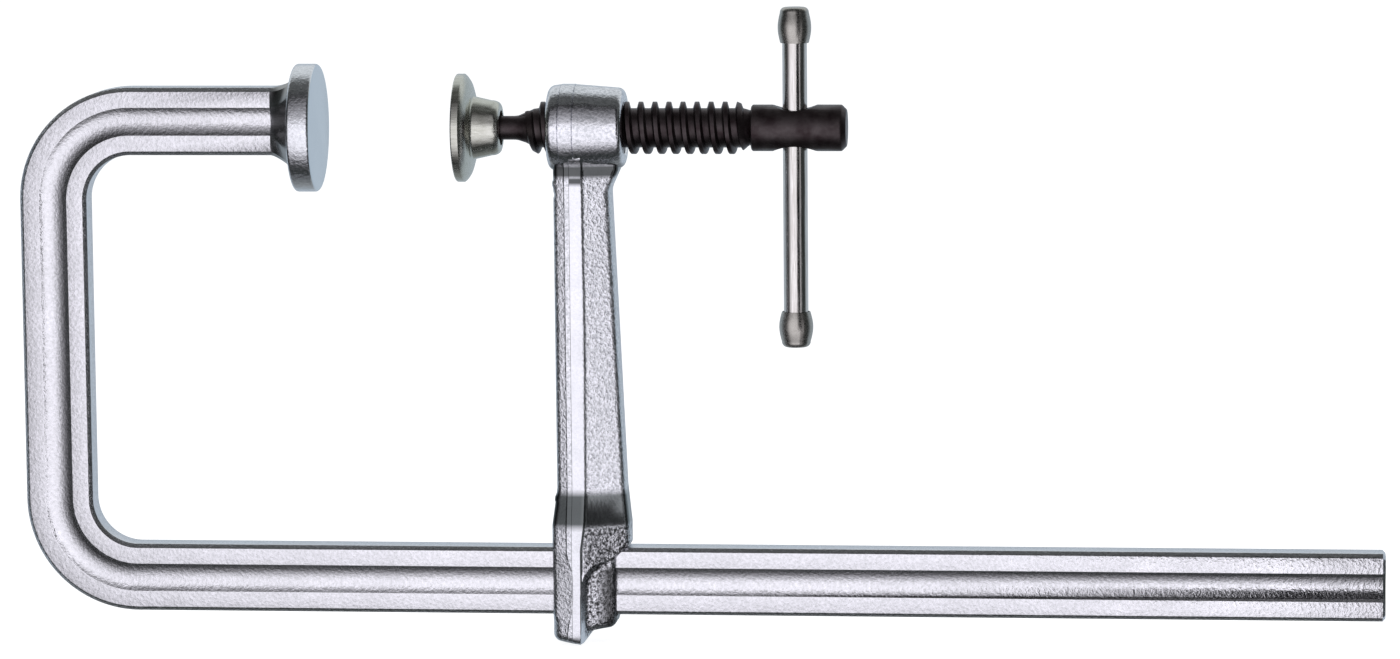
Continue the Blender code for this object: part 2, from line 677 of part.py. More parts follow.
def arm_depth_mesh():
    """The depth of the arm over its height: slim beam, shoulder, thick rail clamp and round foot."""
    rings = [depth_ring(TOE_Z - PLAN_MARGIN, CLAMP_HALF_DEPTH - 2 * FOOT_ROUNDING)]
    for index in range(EDGE_STEPS + 1):
        angle = math.pi / 2 * index / EDGE_STEPS
        height = TOE_Z + FOOT_ROUNDING * (1.0 - math.cos(angle))
        rings.append(depth_ring(height, CLAMP_HALF_DEPTH - FOOT_ROUNDING * (1.0 - math.sin(angle))))
    for index in range(SHOULDER_STEPS + 1):
        share = index / SHOULDER_STEPS
        height = SHOULDER_FOOT_Z + SHOULDER_LENGTH * share
        ease = (1.0 + math.cos(math.pi * share)) / 2
        half_depth = BEAM_HALF_DEPTH + (CLAMP_HALF_DEPTH - BEAM_HALF_DEPTH) * ease
        rings.append(depth_ring(height, half_depth))
    for index in range(BOSS_BLEND_STEPS + 1):
        share = index / BOSS_BLEND_STEPS
        height = -BOSS_RADIUS - BOSS_BLEND_DROP + BOSS_BLEND_LENGTH * share
        rings.append(depth_ring(height, BEAM_HALF_DEPTH + BOSS_BLEND_DEPTH * share ** 2))
    rings.append(depth_ring(0.0, BEAM_HALF_DEPTH))
    return lofted_mesh("arm_depth", rings)


def recess_outline():
    """Side view of the cut that thins the lower right of the rail clamp, with its S-shaped rim."""
    rim_x = LAND_RIGHT_X + RECESS_RIM_OFFSET
    right = BEARING_RIGHT_X + CUTTER_OVERRUN
    low = TOE_Z - CUTTER_OVERRUN
    return [
        (right, RAIL_TOP_Z + RECESS_RISE, 0.0),
        (CLAMP_RIGHT_X, RAIL_TOP_Z - RECESS_TOP_DROP, RECESS_TOP_RADIUS),
        (rim_x, RAIL_TOP_Z - RECESS_CORNER_DROP, RECESS_CORNER_RADIUS),
        (rim_x - RECESS_RIM_LEAN, low, 0.0),
        (right, low, 0.0),
    ]


def boss_mesh():
    """The round boss, with a little draft to both sides of the parting land."""
    right_corner = (BOSS_RIGHT_X - BOSS_ROUNDING, BOSS_RADIUS - BOSS_RIGHT_DRAFT - BOSS_ROUNDING)
    left_corner = (BOSS_LEFT_X + BOSS_ROUNDING, BOSS_RADIUS - BOSS_LEFT_DRAFT - BOSS_ROUNDING)
    right_edge = arc(right_corner, BOSS_ROUNDING, 0.0, math.pi / 2, EDGE_STEPS)
    left_edge = arc(left_corner, BOSS_ROUNDING, math.pi / 2, math.pi, EDGE_STEPS)
    profile = [(BOSS_RIGHT_X, 0.0)] + right_edge
    profile += [(LAND_RIGHT_X, BOSS_RADIUS), (LAND_LEFT_X, BOSS_RADIUS)]
    profile += left_edge + [(BOSS_LEFT_X, 0.0)]
    return turned_mesh("boss", profile, DISC_STEPS)


def rail_slot_mesh():
    """The straight slot that the rail runs through, with play on all four sides."""
    working = bmesh.new()
    bmesh.ops.create_cube(working, size=1.0)
    length = BEARING_RIGHT_X - CLAMP_LEFT_X + 2 * CUTTER_OVERRUN
    size = (length, 2 * SLOT_HALF_DEPTH, BAR_HEIGHT + 2 * RAIL_PLAY)
    middle = ((BEARING_RIGHT_X + CLAMP_LEFT_X) / 2, 0.0, RAIL_MIDDLE_Z)
    bmesh.ops.scale(working, vec=size, verts=working.verts)
    bmesh.ops.translate(working, vec=middle, verts=working.verts)
    data = bpy.data.meshes.new("rail_slot")
    working.to_mesh(data)
    working.free()
    return data


def nut_mesh():
    """The nut thread's cutter, longer than the boss at both ends."""
    overrun = 2 * PITCH
    left = BOSS_LEFT_X - overrun
    right = BOSS_RIGHT_X + overrun
    root = ROOT_RADIUS + THREAD_PLAY
    left_end = [(left - PITCH, 0.0), (left - PITCH, root)]
    right_end = [(right + PITCH, 0.0), (right + PITCH, root)]
    return threaded_mesh("nut_thread", left, right, left_end, right_end, THREAD_PLAY)


def nut_mouth_mesh(face_x, outward):
    """The countersink at one mouth of the nut thread; outward is +1 or -1 along X."""
    mouth = THREAD_RADIUS + THREAD_PLAY + NUT_MOUTH_CHAMFER
    depth = mouth - ROOT_RADIUS
    profile = [
        (face_x + outward * MOUTH_OVERRUN, 0.0),
        (face_x + outward * MOUTH_OVERRUN, mouth + MOUTH_OVERRUN),
        (face_x - outward * depth, ROOT_RADIUS),
        (face_x - outward * depth, 0.0),
    ]
    return turned_mesh("nut_mouth", profile, DISC_STEPS)


def round_edges(piece, width, sharp_angle=math.radians(40.0), flat_angle=math.radians(0.5)):
    """Round the sharp edges of a piece, and join what its flat stretches were split into."""
    working = bmesh.new()
    working.from_mesh(piece.data)
    bmesh.ops.dissolve_limit(working, angle_limit=flat_angle, verts=working.verts, edges=working.edges)
    working.to_mesh(piece.data)
    working.free()
    edge = piece.modifiers.new("edge rounding", "BEVEL")
    edge.width = width
    edge.segments = 2
    edge.limit_method = "ANGLE"
    edge.angle_limit = sharp_angle
    edge.use_clamp_overlap = True


def build_arm(surface):
    """The forged arm: boss with nut thread, drafted beam, shoulder and the clamp round the rail."""
    side_view = rounded_outline(arm_outline())
    outline = extruded_mesh("arm_side", side_view, CLAMP_HALF_DEPTH + CUTTER_OVERRUN)
    arm = add_part("sliding_arm", outline, surface)
    combine(arm, add_cutter("arm_depth", arm_depth_mesh()), "INTERSECT")
    recess_view = rounded_outline(recess_outline(), RECESS_CORNER_STEPS)
    for side in (-1, 1):
        middle = side * (RECESS_HALF_DEPTH + CUTTER_OVERRUN / 2)
        recess = extruded_mesh("recess", recess_view, CUTTER_OVERRUN / 2, middle)
        combine(arm, add_cutter("recess", recess), "DIFFERENCE")
    arm.data = evaluated_mesh(arm)
    arm.modifiers.clear()
    round_edges(arm, EDGE_ROUNDING)
    combine(arm, add_cutter("boss", boss_mesh()), "UNION")
    combine(arm, add_cutter("rail_slot", rail_slot_mesh()), "DIFFERENCE")
    combine(arm, add_cutter("nut_thread", nut_mesh()), "DIFFERENCE")
    combine(arm, add_cutter("nut_mouth_left", nut_mouth_mesh(BOSS_LEFT_X, -1)), "DIFFERENCE")
    combine(arm, add_cutter("nut_mouth_right", nut_mouth_mesh(BOSS_RIGHT_X, 1)), "DIFFERENCE")
    arm.data = evaluated_mesh(arm)
    arm.modifiers.clear()
    smooth(arm)
    return arm


def flare_radius(x):
    """Radius of the concave flare between the ball's neck and the thread's root."""
    share = min(max((x - FLARE_START_X) / FLARE_LENGTH, 0.0), 1.0)
    return BALL_NECK_RADIUS + (ROOT_RADIUS - BALL_NECK_RADIUS) * share ** FLARE_POWER


def screw_envelope(x, radius):
    """Keeps a point of the thread within the flare and the start chamfer, and out of the relief."""
    relief = RELIEF_RADIUS + max(HEAD_START_X - RELIEF_WIDTH - x, 0.0) * RELIEF_SLOPE
    if radius > ROOT_RADIUS:
        chamfer = START_CHAMFER_RADIUS + (x - FLARE_START_X - START_CHAMFER_SETBACK) * START_CHAMFER_SLOPE
        return min(radius, max(chamfer, flare_radius(x)), relief)
    return min(flare_radius(x), relief)


def screw_mesh():
    """The turned and threaded screw: ball, neck, flare, thread, relief and head."""
    start_x = FLARE_START_X + SHEET_START
    end_x = HEAD_START_X - SHEET_END
    join_angle = math.asin(BALL_NECK_RADIUS / BALL_RADIUS)
    ball = arc((BALL_X, 0.0), BALL_RADIUS, math.pi, join_angle, BALL_STEPS)
    left = [(BALL_X - BALL_RADIUS, 0.0)] + ball[1:]
    for index in range(FLARE_STEPS):
        x = FLARE_START_X + SHEET_START * index / FLARE_STEPS
        left.append((x, flare_radius(x)))
    right = [
        (HEAD_END_X, 0.0),
        (HEAD_END_X, HEAD_RADIUS - HEAD_CHAMFER),
        (HEAD_END_X - HEAD_CHAMFER, HEAD_RADIUS),
        (HEAD_START_X + HEAD_SHOULDER_CHAMFER, HEAD_RADIUS),
        (HEAD_START_X, HEAD_RADIUS - HEAD_SHOULDER_CHAMFER),
        (HEAD_START_X, RELIEF_RADIUS),
    ]
    return threaded_mesh("spindle", start_x, end_x, left, right, envelope=screw_envelope)


def plug_profile(half_length, radius):
    """Profile of a plain round plug, as long to both sides of its middle."""
    return [(half_length, 0.0), (half_length, radius), (-half_length, radius), (-half_length, 0.0)]


def build_screw(surface):
    """The clamping screw: ball, neck, trapezoidal thread and a head drilled for the tommy bar."""
    screw = add_part("spindle", screw_mesh(), surface)
    half_length = HEAD_RADIUS + CUTTER_OVERRUN / 2
    hole_profile = plug_profile(half_length, TOMMY_HOLE_RADIUS)
    hole = turned_mesh("tommy_hole", hole_profile, THREAD_STEPS, Matrix.Identity(4))
    combine(screw, add_cutter("tommy_hole", hole, (TOMMY_X, 0.0, 0.0)), "DIFFERENCE")

    half_saddle = TOMMY_HOLE_RADIUS + SADDLE_MARGIN
    saddle_radius = (half_saddle ** 2 + SADDLE_DEPTH ** 2) / (2 * SADDLE_DEPTH)
    saddle_profile = plug_profile(half_length, saddle_radius)
    for side in (-1, 1):
        saddle = turned_mesh("saddle", saddle_profile, SADDLE_STEPS, Matrix.Rotation(math.pi / 2, 4, "X"))
        place = (TOMMY_X, 0.0, side * (HEAD_RADIUS - SADDLE_DEPTH + saddle_radius))
        combine(screw, add_cutter("saddle", saddle, place), "DIFFERENCE")
    screw.data = evaluated_mesh(screw)
    screw.modifiers.clear()
    smooth(screw)
    return screw


def quarter_round(start, end):
    """Points of a quarter ellipse between two (x, radius) points; it leaves the first square to X."""
    points = []
    for index in range(FILLET_STEPS + 1):
        angle = math.pi / 2 * index / FILLET_STEPS
        along = end[0] + (start[0] - end[0]) * math.cos(angle)
        points.append((along, start[1] + (end[1] - start[1]) * math.sin(angle)))
    return points


def pad_dish():
    """Profile of the flange's bulging back, from its step near the hub out to the rim."""
    step_radius = RING_CHAMBER_RADIUS + HUB_WALL + HUB_TAPER + PAD_STEP_WIDTH
    inner = Vector((PAD_FACE_X + PAD_STEP_SETBACK, step_radius))
    outer = Vector((PAD_FACE_X + PAD_RIM, PAD_RADIUS - PAD_EDGE_CHAMFER / 2))
    outward = Vector((outer.y - inner.y, inner.x - outer.x)).normalized()
    points = []
    for index in range(DISH_STEPS + 1):
        share = index / DISH_STEPS
        point = inner.lerp(outer, share) + outward * PAD_DISH_BULGE * math.sin(math.pi * share)
        points.append((point.x, point.y))
    return points


def pad_outside(lip_back):
    """Profile of the pad's outside, from its lip round the hub and the flange to the face."""
    hub_radius = RING_CHAMBER_RADIUS + HUB_WALL
    lip = quarter_round((lip_back, LIP_OPENING_RADIUS + LIP_ROLL), (lip_back - LIP_LENGTH, hub_radius))
    fillet_x = PAD_FACE_X + HUB_SETBACK + HUB_FILLET_RADIUS
    fillet_centre = (fillet_x, hub_radius + HUB_TAPER + HUB_FILLET_RADIUS)
    fillet = arc(fillet_centre, HUB_FILLET_RADIUS, -math.pi / 2, -math.pi, FILLET_STEPS)
    rim = [
        (PAD_FACE_X + PAD_RIM - PAD_EDGE_CHAMFER, PAD_RADIUS),
        (PAD_FACE_X + PAD_EDGE_CHAMFER, PAD_RADIUS),
        (PAD_FACE_X, PAD_RADIUS - PAD_EDGE_CHAMFER),
        (PAD_FACE_X, 0.0),
    ]
    return [(lip_back, LIP_OPENING_RADIUS)] + lip + fillet + pad_dish() + rim


def pad_inside(chamber_back):
    """Profile of the pad's inside: a round socket for the ball and a wider chamber for the ring."""
    socket_radius = BALL_RADIUS + TOUCH_GAP
    chamber_front = RING_X - RING_ROOM
    socket = arc((BALL_X, 0.0), socket_radius, math.pi, math.pi / 2, SOCKET_STEPS)
    return [(BALL_X - socket_radius, 0.0)] + socket[1:] + [
        (chamber_front, socket_radius),
        (chamber_front, RING_CHAMBER_RADIUS),
        (chamber_back, RING_CHAMBER_RADIUS),
        (chamber_back, LIP_OPENING_RADIUS),
    ]


def build_pad(surface):
    """The swivelling pressure pad: a flanged cup that closes round the ball with a rolled lip."""
    chamber_back = RING_X + RING_ROOM
    profile = pad_inside(chamber_back) + pad_outside(chamber_back + LIP_THICKNESS)
    pad = add_part("pressure_pad", turned_mesh("pressure_pad", profile, TURNED_STEPS), surface)
    smooth(pad)
    return pad


def build_ring(surface):
    """The wire ring behind the ball."""
    bpy.ops.mesh.primitive_torus_add(
        major_segments=KNOB_STEPS,
        minor_segments=RING_WIRE_STEPS,
        major_radius=RING_RADIUS,
        minor_radius=RING_WIRE_RADIUS,
        location=(RING_X, 0.0, 0.0),
        rotation=(0.0, math.pi / 2, 0.0),
    )
    ring = bpy.context.object
    ring.name = "pad_retaining_ring"
    ring.data.materials.append(surface)
    for holder in list(ring.users_collection):
        holder.objects.unlink(ring)
    collection(PARTS_COLLECTION).objects.link(ring)
    smooth(ring)
    return ring


def build_tommy_bar(surface):
    """The loose cross bar through the head of the screw."""
    top = TOMMY_TOP_Z - KNOB_WALL - TOUCH_GAP
    bottom = TOMMY_BOTTOM_Z + KNOB_WALL + TOUCH_GAP
    profile = [
        (top, 0.0),
        (top, TOMMY_RADIUS - TOMMY_CHAMFER),
        (top - TOMMY_CHAMFER, TOMMY_RADIUS),
        (bottom + TOMMY_CHAMFER, TOMMY_RADIUS),
        (bottom, TOMMY_RADIUS - TOMMY_CHAMFER),
        (bottom, 0.0),
    ]
    data = turned_mesh("tommy_bar", profile, TURNED_STEPS, Matrix.Identity(4))
    bar = add_part("tommy_bar", data, surface, (TOMMY_X, 0.0, 0.0))
    smooth(bar)
    return bar


def knob_belly(belly):
    """Profile of a knob's barrel, from its shoulder to its mouth, widest halfway."""
    shoulder_radius = KNOB_BORE_RADIUS + KNOB_SHOULDER_WALL
    mouth_radius = KNOB_BORE_RADIUS + KNOB_MOUTH_WALL
    points = []
    for index in range(1, BELLY_STEPS + 1):
        share = index / BELLY_STEPS
        chord = shoulder_radius + (mouth_radius - shoulder_radius) * share
        bulge = (KNOB_BORE_RADIUS + belly - chord) * math.sin(math.pi * share)
        points.append((KNOB_SHOULDER + (KNOB_LENGTH - KNOB_SHOULDER) * share, chord + bulge))
    return points


def build_knob(name, surface, end_z, inward, belly):
    """A barrel-shaped knob pressed on one end of the cross bar; inward is +1 or -1 along Z."""
    end_radius = TOMMY_RADIUS - KNOB_END_INSET
    shoulder = quarter_round((0.0, end_radius), (KNOB_SHOULDER, KNOB_BORE_RADIUS + KNOB_SHOULDER_WALL))
    bore = [(KNOB_LENGTH, KNOB_BORE_RADIUS), (KNOB_WALL, KNOB_BORE_RADIUS), (KNOB_WALL, 0.0)]
    profile = [(0.0, 0.0)] + shoulder + knob_belly(belly) + bore
    placed = [(end_z + inward * along, across) for along, across in profile]
    data = turned_mesh(name, placed, KNOB_STEPS, Matrix.Identity(4))
    knob = add_part(name, data, surface, (TOMMY_X, 0.0, 0.0))
    smooth(knob)
    return knob


def main():
    clear_scene()
    zinc = material("zinc_plated_blasted", (0.62, 0.63, 0.66), 0.42)
    anvil_zinc = material("zinc_plated_face", (0.55, 0.62, 0.68), 0.35)
    forged_zinc = material("zinc_plated_forging", (0.50, 0.52, 0.54), 0.50)
    turned_zinc = material("zinc_plated_turned", (0.60, 0.60, 0.54), 0.28)
    black = material("blackened_steel", (0.03, 0.025, 0.028), 0.38)
    bright = material("bright_plated_bar", (0.60, 0.59, 0.57), 0.22)
    dull = material("dull_plated_knob", (0.42, 0.40, 0.36), 0.34)
    spring_steel = material("spring_wire", (0.35, 0.35, 0.36), 0.35)

    build_frame(zinc)
    build_anvil(anvil_zinc)
    build_arm(forged_zinc)
    build_screw(black)
    build_pad(turned_zinc)
    build_ring(spring_steel)
    build_tommy_bar(bright)
    build_knob("tommy_knob_top", dull, TOMMY_TOP_Z, -1, TOP_KNOB_BELLY)
    build_knob("tommy_knob_bottom", dull, TOMMY_BOTTOM_Z, 1, BOTTOM_KNOB_BELLY)


main()
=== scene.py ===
"""Looks of the screw clamp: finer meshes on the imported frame, worked metal surfaces, studio and camera.

Units are metres, +Z is up, and the origin is the centre of the fixed anvil's clamping face.
"""

import math

import bmesh
import bpy
import numpy as np
from mathutils import Matrix, Vector, noise


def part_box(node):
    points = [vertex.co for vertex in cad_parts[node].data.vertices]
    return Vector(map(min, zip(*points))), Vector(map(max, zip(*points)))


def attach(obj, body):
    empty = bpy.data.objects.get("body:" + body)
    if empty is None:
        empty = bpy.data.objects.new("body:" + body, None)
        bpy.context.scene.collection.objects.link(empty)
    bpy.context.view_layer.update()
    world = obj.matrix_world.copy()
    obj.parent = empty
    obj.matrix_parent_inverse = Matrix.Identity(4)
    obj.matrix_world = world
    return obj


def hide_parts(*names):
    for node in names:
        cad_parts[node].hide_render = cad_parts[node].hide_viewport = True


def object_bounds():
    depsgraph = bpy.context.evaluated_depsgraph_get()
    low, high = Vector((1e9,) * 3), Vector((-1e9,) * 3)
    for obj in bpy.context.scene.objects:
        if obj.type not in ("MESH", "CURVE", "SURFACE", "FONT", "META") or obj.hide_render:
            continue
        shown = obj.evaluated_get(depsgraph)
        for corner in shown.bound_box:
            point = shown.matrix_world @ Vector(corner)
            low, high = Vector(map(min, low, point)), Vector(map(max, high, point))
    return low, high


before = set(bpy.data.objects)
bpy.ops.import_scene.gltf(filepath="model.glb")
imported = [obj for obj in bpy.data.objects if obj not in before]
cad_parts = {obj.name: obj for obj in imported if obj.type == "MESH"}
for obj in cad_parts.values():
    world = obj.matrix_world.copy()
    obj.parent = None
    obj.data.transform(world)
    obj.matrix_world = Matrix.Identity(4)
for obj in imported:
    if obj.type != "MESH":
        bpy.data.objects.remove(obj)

CAD_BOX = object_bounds()
MM = 0.001
AXIS_X = Matrix.Rotation(math.pi / 2, 4, "Y")
TOUCH_GAP = 0.3 * MM
CUTTER_MARGIN = 10.0 * MM
SHARP_ANGLE = math.radians(32.0)

# Section of the bar and its bends
RAIL_TOP_Z = -120.0 * MM
BAR_THICKNESS = 9.5 * MM
BAR_CHAMFER = 1.15 * MM
GROOVE_WIDTH = 8.0 * MM
GROOVE_DEPTH = 1.3 * MM
GROOVE_STEPS = 14
BAR_EDGE_RADIUS = 0.3 * MM
BEND_INNER_RADIUS = 13.0 * MM
BEND_STEPS = 40
RAIL_END_CHAMFER = 0.8 * MM
RAIL_PLAY = 0.35 * MM

# Neck that carries the anvil, and the anvil
UPPER_BAR_OFFSET = 2.1 * MM
NECK_LENGTH = 6.4 * MM
NECK_RADIUS = 13.4 * MM
NECK_END_OFFSET = 1.2 * MM
NECK_STATIONS = 16
NECK_WIDTH_POWER = 0.95
NECK_HEIGHT_POWER = 1.6
TENON_RADIUS = 6.0 * MM
TENON_LENGTH = 4.0 * MM
ANVIL_ROUNDING = 1.0 * MM
ANVIL_STEPS = 128

# Trapezoidal thread
PITCH = 4.0 * MM
THREAD_RADIUS = 7.45 * MM
THREAD_DEPTH = 1.85 * MM
CREST_WIDTH = 1.3 * MM
CREST_ROUNDING = 0.16 * MM
CREST_ROUNDING_OUTSIDE = 0.3
VALLEY_CORNER = 0.12
VALLEY_CORNER_LIFT = 0.06
FLANK_ANGLE = math.radians(15.0)
CREST_ON_TOP = 35.5 * MM
THREAD_STEPS = 72
RUN_OUT_STEPS = 6
SHEET_START = 1.8 * MM
SHEET_END = 0.2 * MM
THREAD_PLAY = 0.3 * MM
NUT_STEPS = 36
NUT_MOUTH_CHAMFER = 0.5 * MM

# Screw outside its thread
BALL_RADIUS = 5.4 * MM
BALL_NECK_RADIUS = 3.4 * MM
BALL_NECK_LENGTH = 9.2 * MM
FLARE_LENGTH = 6.0 * MM
FLARE_POWER = 1.8
FLARE_STEPS = 6
START_CHAMFER_SETBACK = 4.4 * MM
START_CHAMFER_RADIUS = 6.0 * MM
START_CHAMFER_SLOPE = 0.55
RELIEF_RADIUS = 4.9 * MM
RELIEF_WIDTH = 0.6 * MM
RELIEF_SLOPE = 0.86
HEAD_LENGTH = 27.0 * MM
HEAD_RADIUS = 6.6 * MM
HEAD_CHAMFER = 1.4 * MM
HEAD_SHOULDER = 0.4 * MM
CROSS_HOLE_SETBACK = 12.3 * MM
CROSS_HOLE_RADIUS = 3.8 * MM
SADDLE_MARGIN = 2.6 * MM
SADDLE_DEPTH = 1.55 * MM
SADDLE_STEPS = 180
HEAD_CUTTER_REACH = 3.0 * MM

# Pad: its hub as (distance from the face, radius, rounding), its dish, lip, ring chamber and crimps
PAD_RADIUS = 15.4 * MM
PAD_STEPS = 128
PAD_RIM = 2.2 * MM
PAD_RIM_ROUNDING = 0.5 * MM
HUB_PROFILE = (
    (5.6 * MM, 8.85 * MM, 0.0),
    (4.8 * MM, 8.85 * MM, 0.8 * MM),
    (4.6 * MM, 11.0 * MM, 0.35 * MM),
    (4.4 * MM, 11.6 * MM, 0.0),
)
DISH_REACH = (-1.8 * MM, 3.5 * MM)
DISH_BULGE = (0.234 * MM, 0.186 * MM)
DISH_STEPS = 12
LIP_LENGTH = 2.5 * MM
LIP_MOUTH_RADIUS = 6.2 * MM
LIP_THICKNESS = 1.65 * MM
PAD_MOUTH_RADIUS = 5.0 * MM
CHAMBER_SETBACK = 0.8 * MM
CHAMBER_LENGTH = 3.0 * MM
CHAMBER_RADIUS = 6.7 * MM
CRIMP_LENGTH = 2.6 * MM
CRIMP_INNER_RADIUS = 5.6 * MM
CRIMP_DEPTH = 0.22 * MM
CRIMP_SPACING = 1.6 * MM
CRIMPS_ROUND = 3.2
CRIMP_SHARE = 0.1
CRIMP_SHIFT = 0.15

# Cross bar and knobs
TOMMY_RADIUS = 3.5 * MM
TOMMY_CHAMFER = 0.4 * MM
TOMMY_STEPS = 64
KNOB_END_RADIUS = 2.6 * MM
KNOB_END_ROUNDING = 1.5 * MM
KNOB_BELLY_LENGTH = 8.6 * MM
KNOB_BELLY_STEPS = 20
KNOB_TAPER = 0.05 * MM
KNOB_WALL = 2.6 * MM

# Arm in side view, from the left face of its boss
BOSS_LENGTH = 21.8 * MM
BOSS_RADIUS = 12.5 * MM
BOSS_LEFT_DRAFT = 0.6 * MM
BOSS_RIGHT_DRAFT = 1.2 * MM
BOSS_ROUNDING = 2.1 * MM
BOSS_STEPS = 112
BEAM_TOP_SETBACK = 1.6 * MM
BEAM_TOP_WIDTH = 15.9 * MM
BEAM_FOOT_SETBACK = 1.8 * MM
BEAM_FOOT_WIDTH = 19.5 * MM
CLAMP_SETBACK = 0.6 * MM
CLAMP_WIDTH = 17.9 * MM
BEARING_WIDTH = 21.8 * MM
BEARING_LIFT = 0.8 * MM
BEARING_DROP = 2.6 * MM
SHOULDER_LIFT = 7.0 * MM
SHOULDER_LENGTH = 10.5 * MM
TOE_DEPTH = 8.2 * MM
TOE_WIDTH = 8.3 * MM
TOE_RISE = 1.4 * MM
HEEL_DEPTH = 4.2 * MM
HEEL_WIDTH = 11.3 * MM
HEEL_RISE = 0.8 * MM
WEB_REACH = 2.6 * MM
WEB_LIFT = 0.8 * MM
WEB_DROP = 4.8 * MM
RECESS_MARGIN = 10.0 * MM
RECESS_LENGTH = 40.0 * MM
RIM_TOP_LIFT = 6.2 * MM
RIM_RIGHT_DROP = 2.8 * MM
RIM_BEND_DROP = 4.9 * MM
RIM_SLANT = 0.5 * MM

# Depth of the arm, its drafts and its parting land
BEAM_HALF_DEPTH = 8.0 * MM
CLAMP_HALF_DEPTH = 10.9 * MM
RECESS_HALF_DEPTH = 8.2 * MM
SLOPE_TOP_LIFT = 16.3 * MM
SLOPE_FOOT_LIFT = 6.6 * MM
SLOPE_SHARES = (0.8, 0.2)
LEFT_DRAFT = 0.30
RIGHT_DRAFT = 0.26
CLAMP_DRAFT = 0.45
RECESS_DRAFT = 0.24
RECESS_DRAFT_SETBACK = 1.6 * MM
LAND_EDGE_HEIGHTS = (-120.0 * MM, -112.0 * MM, -60.0 * MM, -15.0 * MM)
LAND_EDGE_SETBACKS = (8.7 * MM, 9.8 * MM, 10.1 * MM, 9.7 * MM)
LAND_PROUD = 0.3 * MM
LAND_HOLLOW = 0.7 * MM
LAND_LEFT_MARGIN = 2.6 * MM
LAND_RIGHT_MARGIN = 1.8 * MM
BOSS_LAND_SETBACK = 3.9 * MM
BOSS_LAND_WIDTH = 3.8 * MM
BOSS_LAND_PROUD = 0.12 * MM
BOSS_LINE_WIDTH = 0.3 * MM
BOSS_LINE_DEPTH = 0.2 * MM
STRIP_SETBACK = 5.0 * MM
STRIP_WIDTH = 1.4 * MM
STRIP_MARGIN = 1.6 * MM
STRIP_LEAST_WIDTH = 0.2 * MM
STRIP_DROP = 0.10 * MM
STRIP_DRAFT = 0.05
STRIP_STEP = 0.25 * MM
STRIP_BULGE = 1.6 * MM
STRIP_BULGE_TOP = 8.0 * MM
STRIP_BULGE_FOOT = 12.0 * MM
STRIP_BULGE_LIFT = 2.0 * MM
FOOT_ROUNDING = 2.6 * MM
FOOT_ROUNDING_LIFT = 1.0 * MM
FOOT_ROUNDING_FADE = 3.0 * MM
EDGE_ROUNDING = 1.4 * MM
BOSS_FILLET = 6.0 * MM
RIM_SETBACK = 9.5 * MM
RIM_WIDTH = 2.0 * MM
RIM_SHIFT = 0.3
RIM_STEEPEST = 4.0
RIM_BEAD = 0.22 * MM
RIM_BEAD_WIDTH = 0.45 * MM
FORGING_WAVE = 0.03 * MM
FORGING_WAVE_SIZE = 5.0 * MM

# Trimmed flash on the arm's left edge, as (height, half height, reach)
FLASH_NICKS = (
    (-15.5 * MM, 1.2 * MM, 0.3 * MM),
    (-18.6 * MM, 0.9 * MM, -0.25 * MM),
    (-105.4 * MM, 1.2 * MM, 0.3 * MM),
)
FLASH_STEEPNESS = 1.6
FLASH_WIDTH = 1.5 * MM

# Rows and columns of the arm's skin
SKIN_INSET = 0.02 * MM
ROW_SPACINGS = (0.5 * MM, 1.0 * MM, 0.5 * MM, 0.35 * MM)
ROWS_BELOW_BOSS = 7.5 * MM
ROWS_ABOVE_SHOULDER = 2.5 * MM
ROWS_ABOVE_RAIL = 6.0 * MM
EDGE_COLUMNS = 6
DRAFT_COLUMNS = 6
FACE_COLUMNS = 40
STRIP_CREASE = (-0.05 * MM, 0.08 * MM)
LAND_LEFT_CREASE = (-0.06 * MM, 0.06 * MM)
LAND_RIGHT_CREASE = (-0.02 * MM, 0.14 * MM)

# Ranges of the noise textures that become tones, clouds and roughness
NOISE_WIDE = (0.3, 0.7)
NOISE_MIDDLE = (0.35, 0.65)

# Blasted surfaces: bright and dark tone, roughness, depth of their relief, tone of their smooth part (the
# anvil face's own tone; on the frame a darker tone over the neck, which is painted shade)
BLAST_GRAIN = 0.9 * MM
BLAST_CLOUD = 14.0 * MM
BLAST_CLOUDING = 0.25
BLAST_ROUGHNESS = (-0.03, 0.05)
BLASTED = {
    "blasted_zinc": ((0.88, 0.87, 0.91), (0.68, 0.68, 0.70), 0.22, 0.12 * MM, (0.36, 0.36, 0.36)),
    "anvil_zinc": ((0.84, 0.85, 0.88), (0.66, 0.67, 0.70), 0.20, 0.11 * MM, (0.74, 0.79, 0.84)),
}
RAIL_FADE_Z = (-30.0 * MM, -20.0 * MM)
SMOOTH_RELIEF = 0.1
# Where the painted shade over the neck starts and how softly it fades
NECK_SHADE_SETBACK = 0.5 * MM
NECK_SHADE_FADE = 1.0 * MM
FACE_TONE_DEPTH = 0.3 * MM
FACE_TONE_REACH = 1.0 * MM
FACE_TONE_FADE = 0.1 * MM

# Forged surface: tones, painted shade tones, how much of the relief is left on its smoother parts, and where
# they fade
FORGED_BRIGHT = (0.84, 0.84, 0.88)
FORGED_PITS = (0.56, 0.57, 0.60)
FORGED_CLOUDS = (0.60, 0.62, 0.62)
FOOT_PITS = (0.03, 0.03, 0.03)
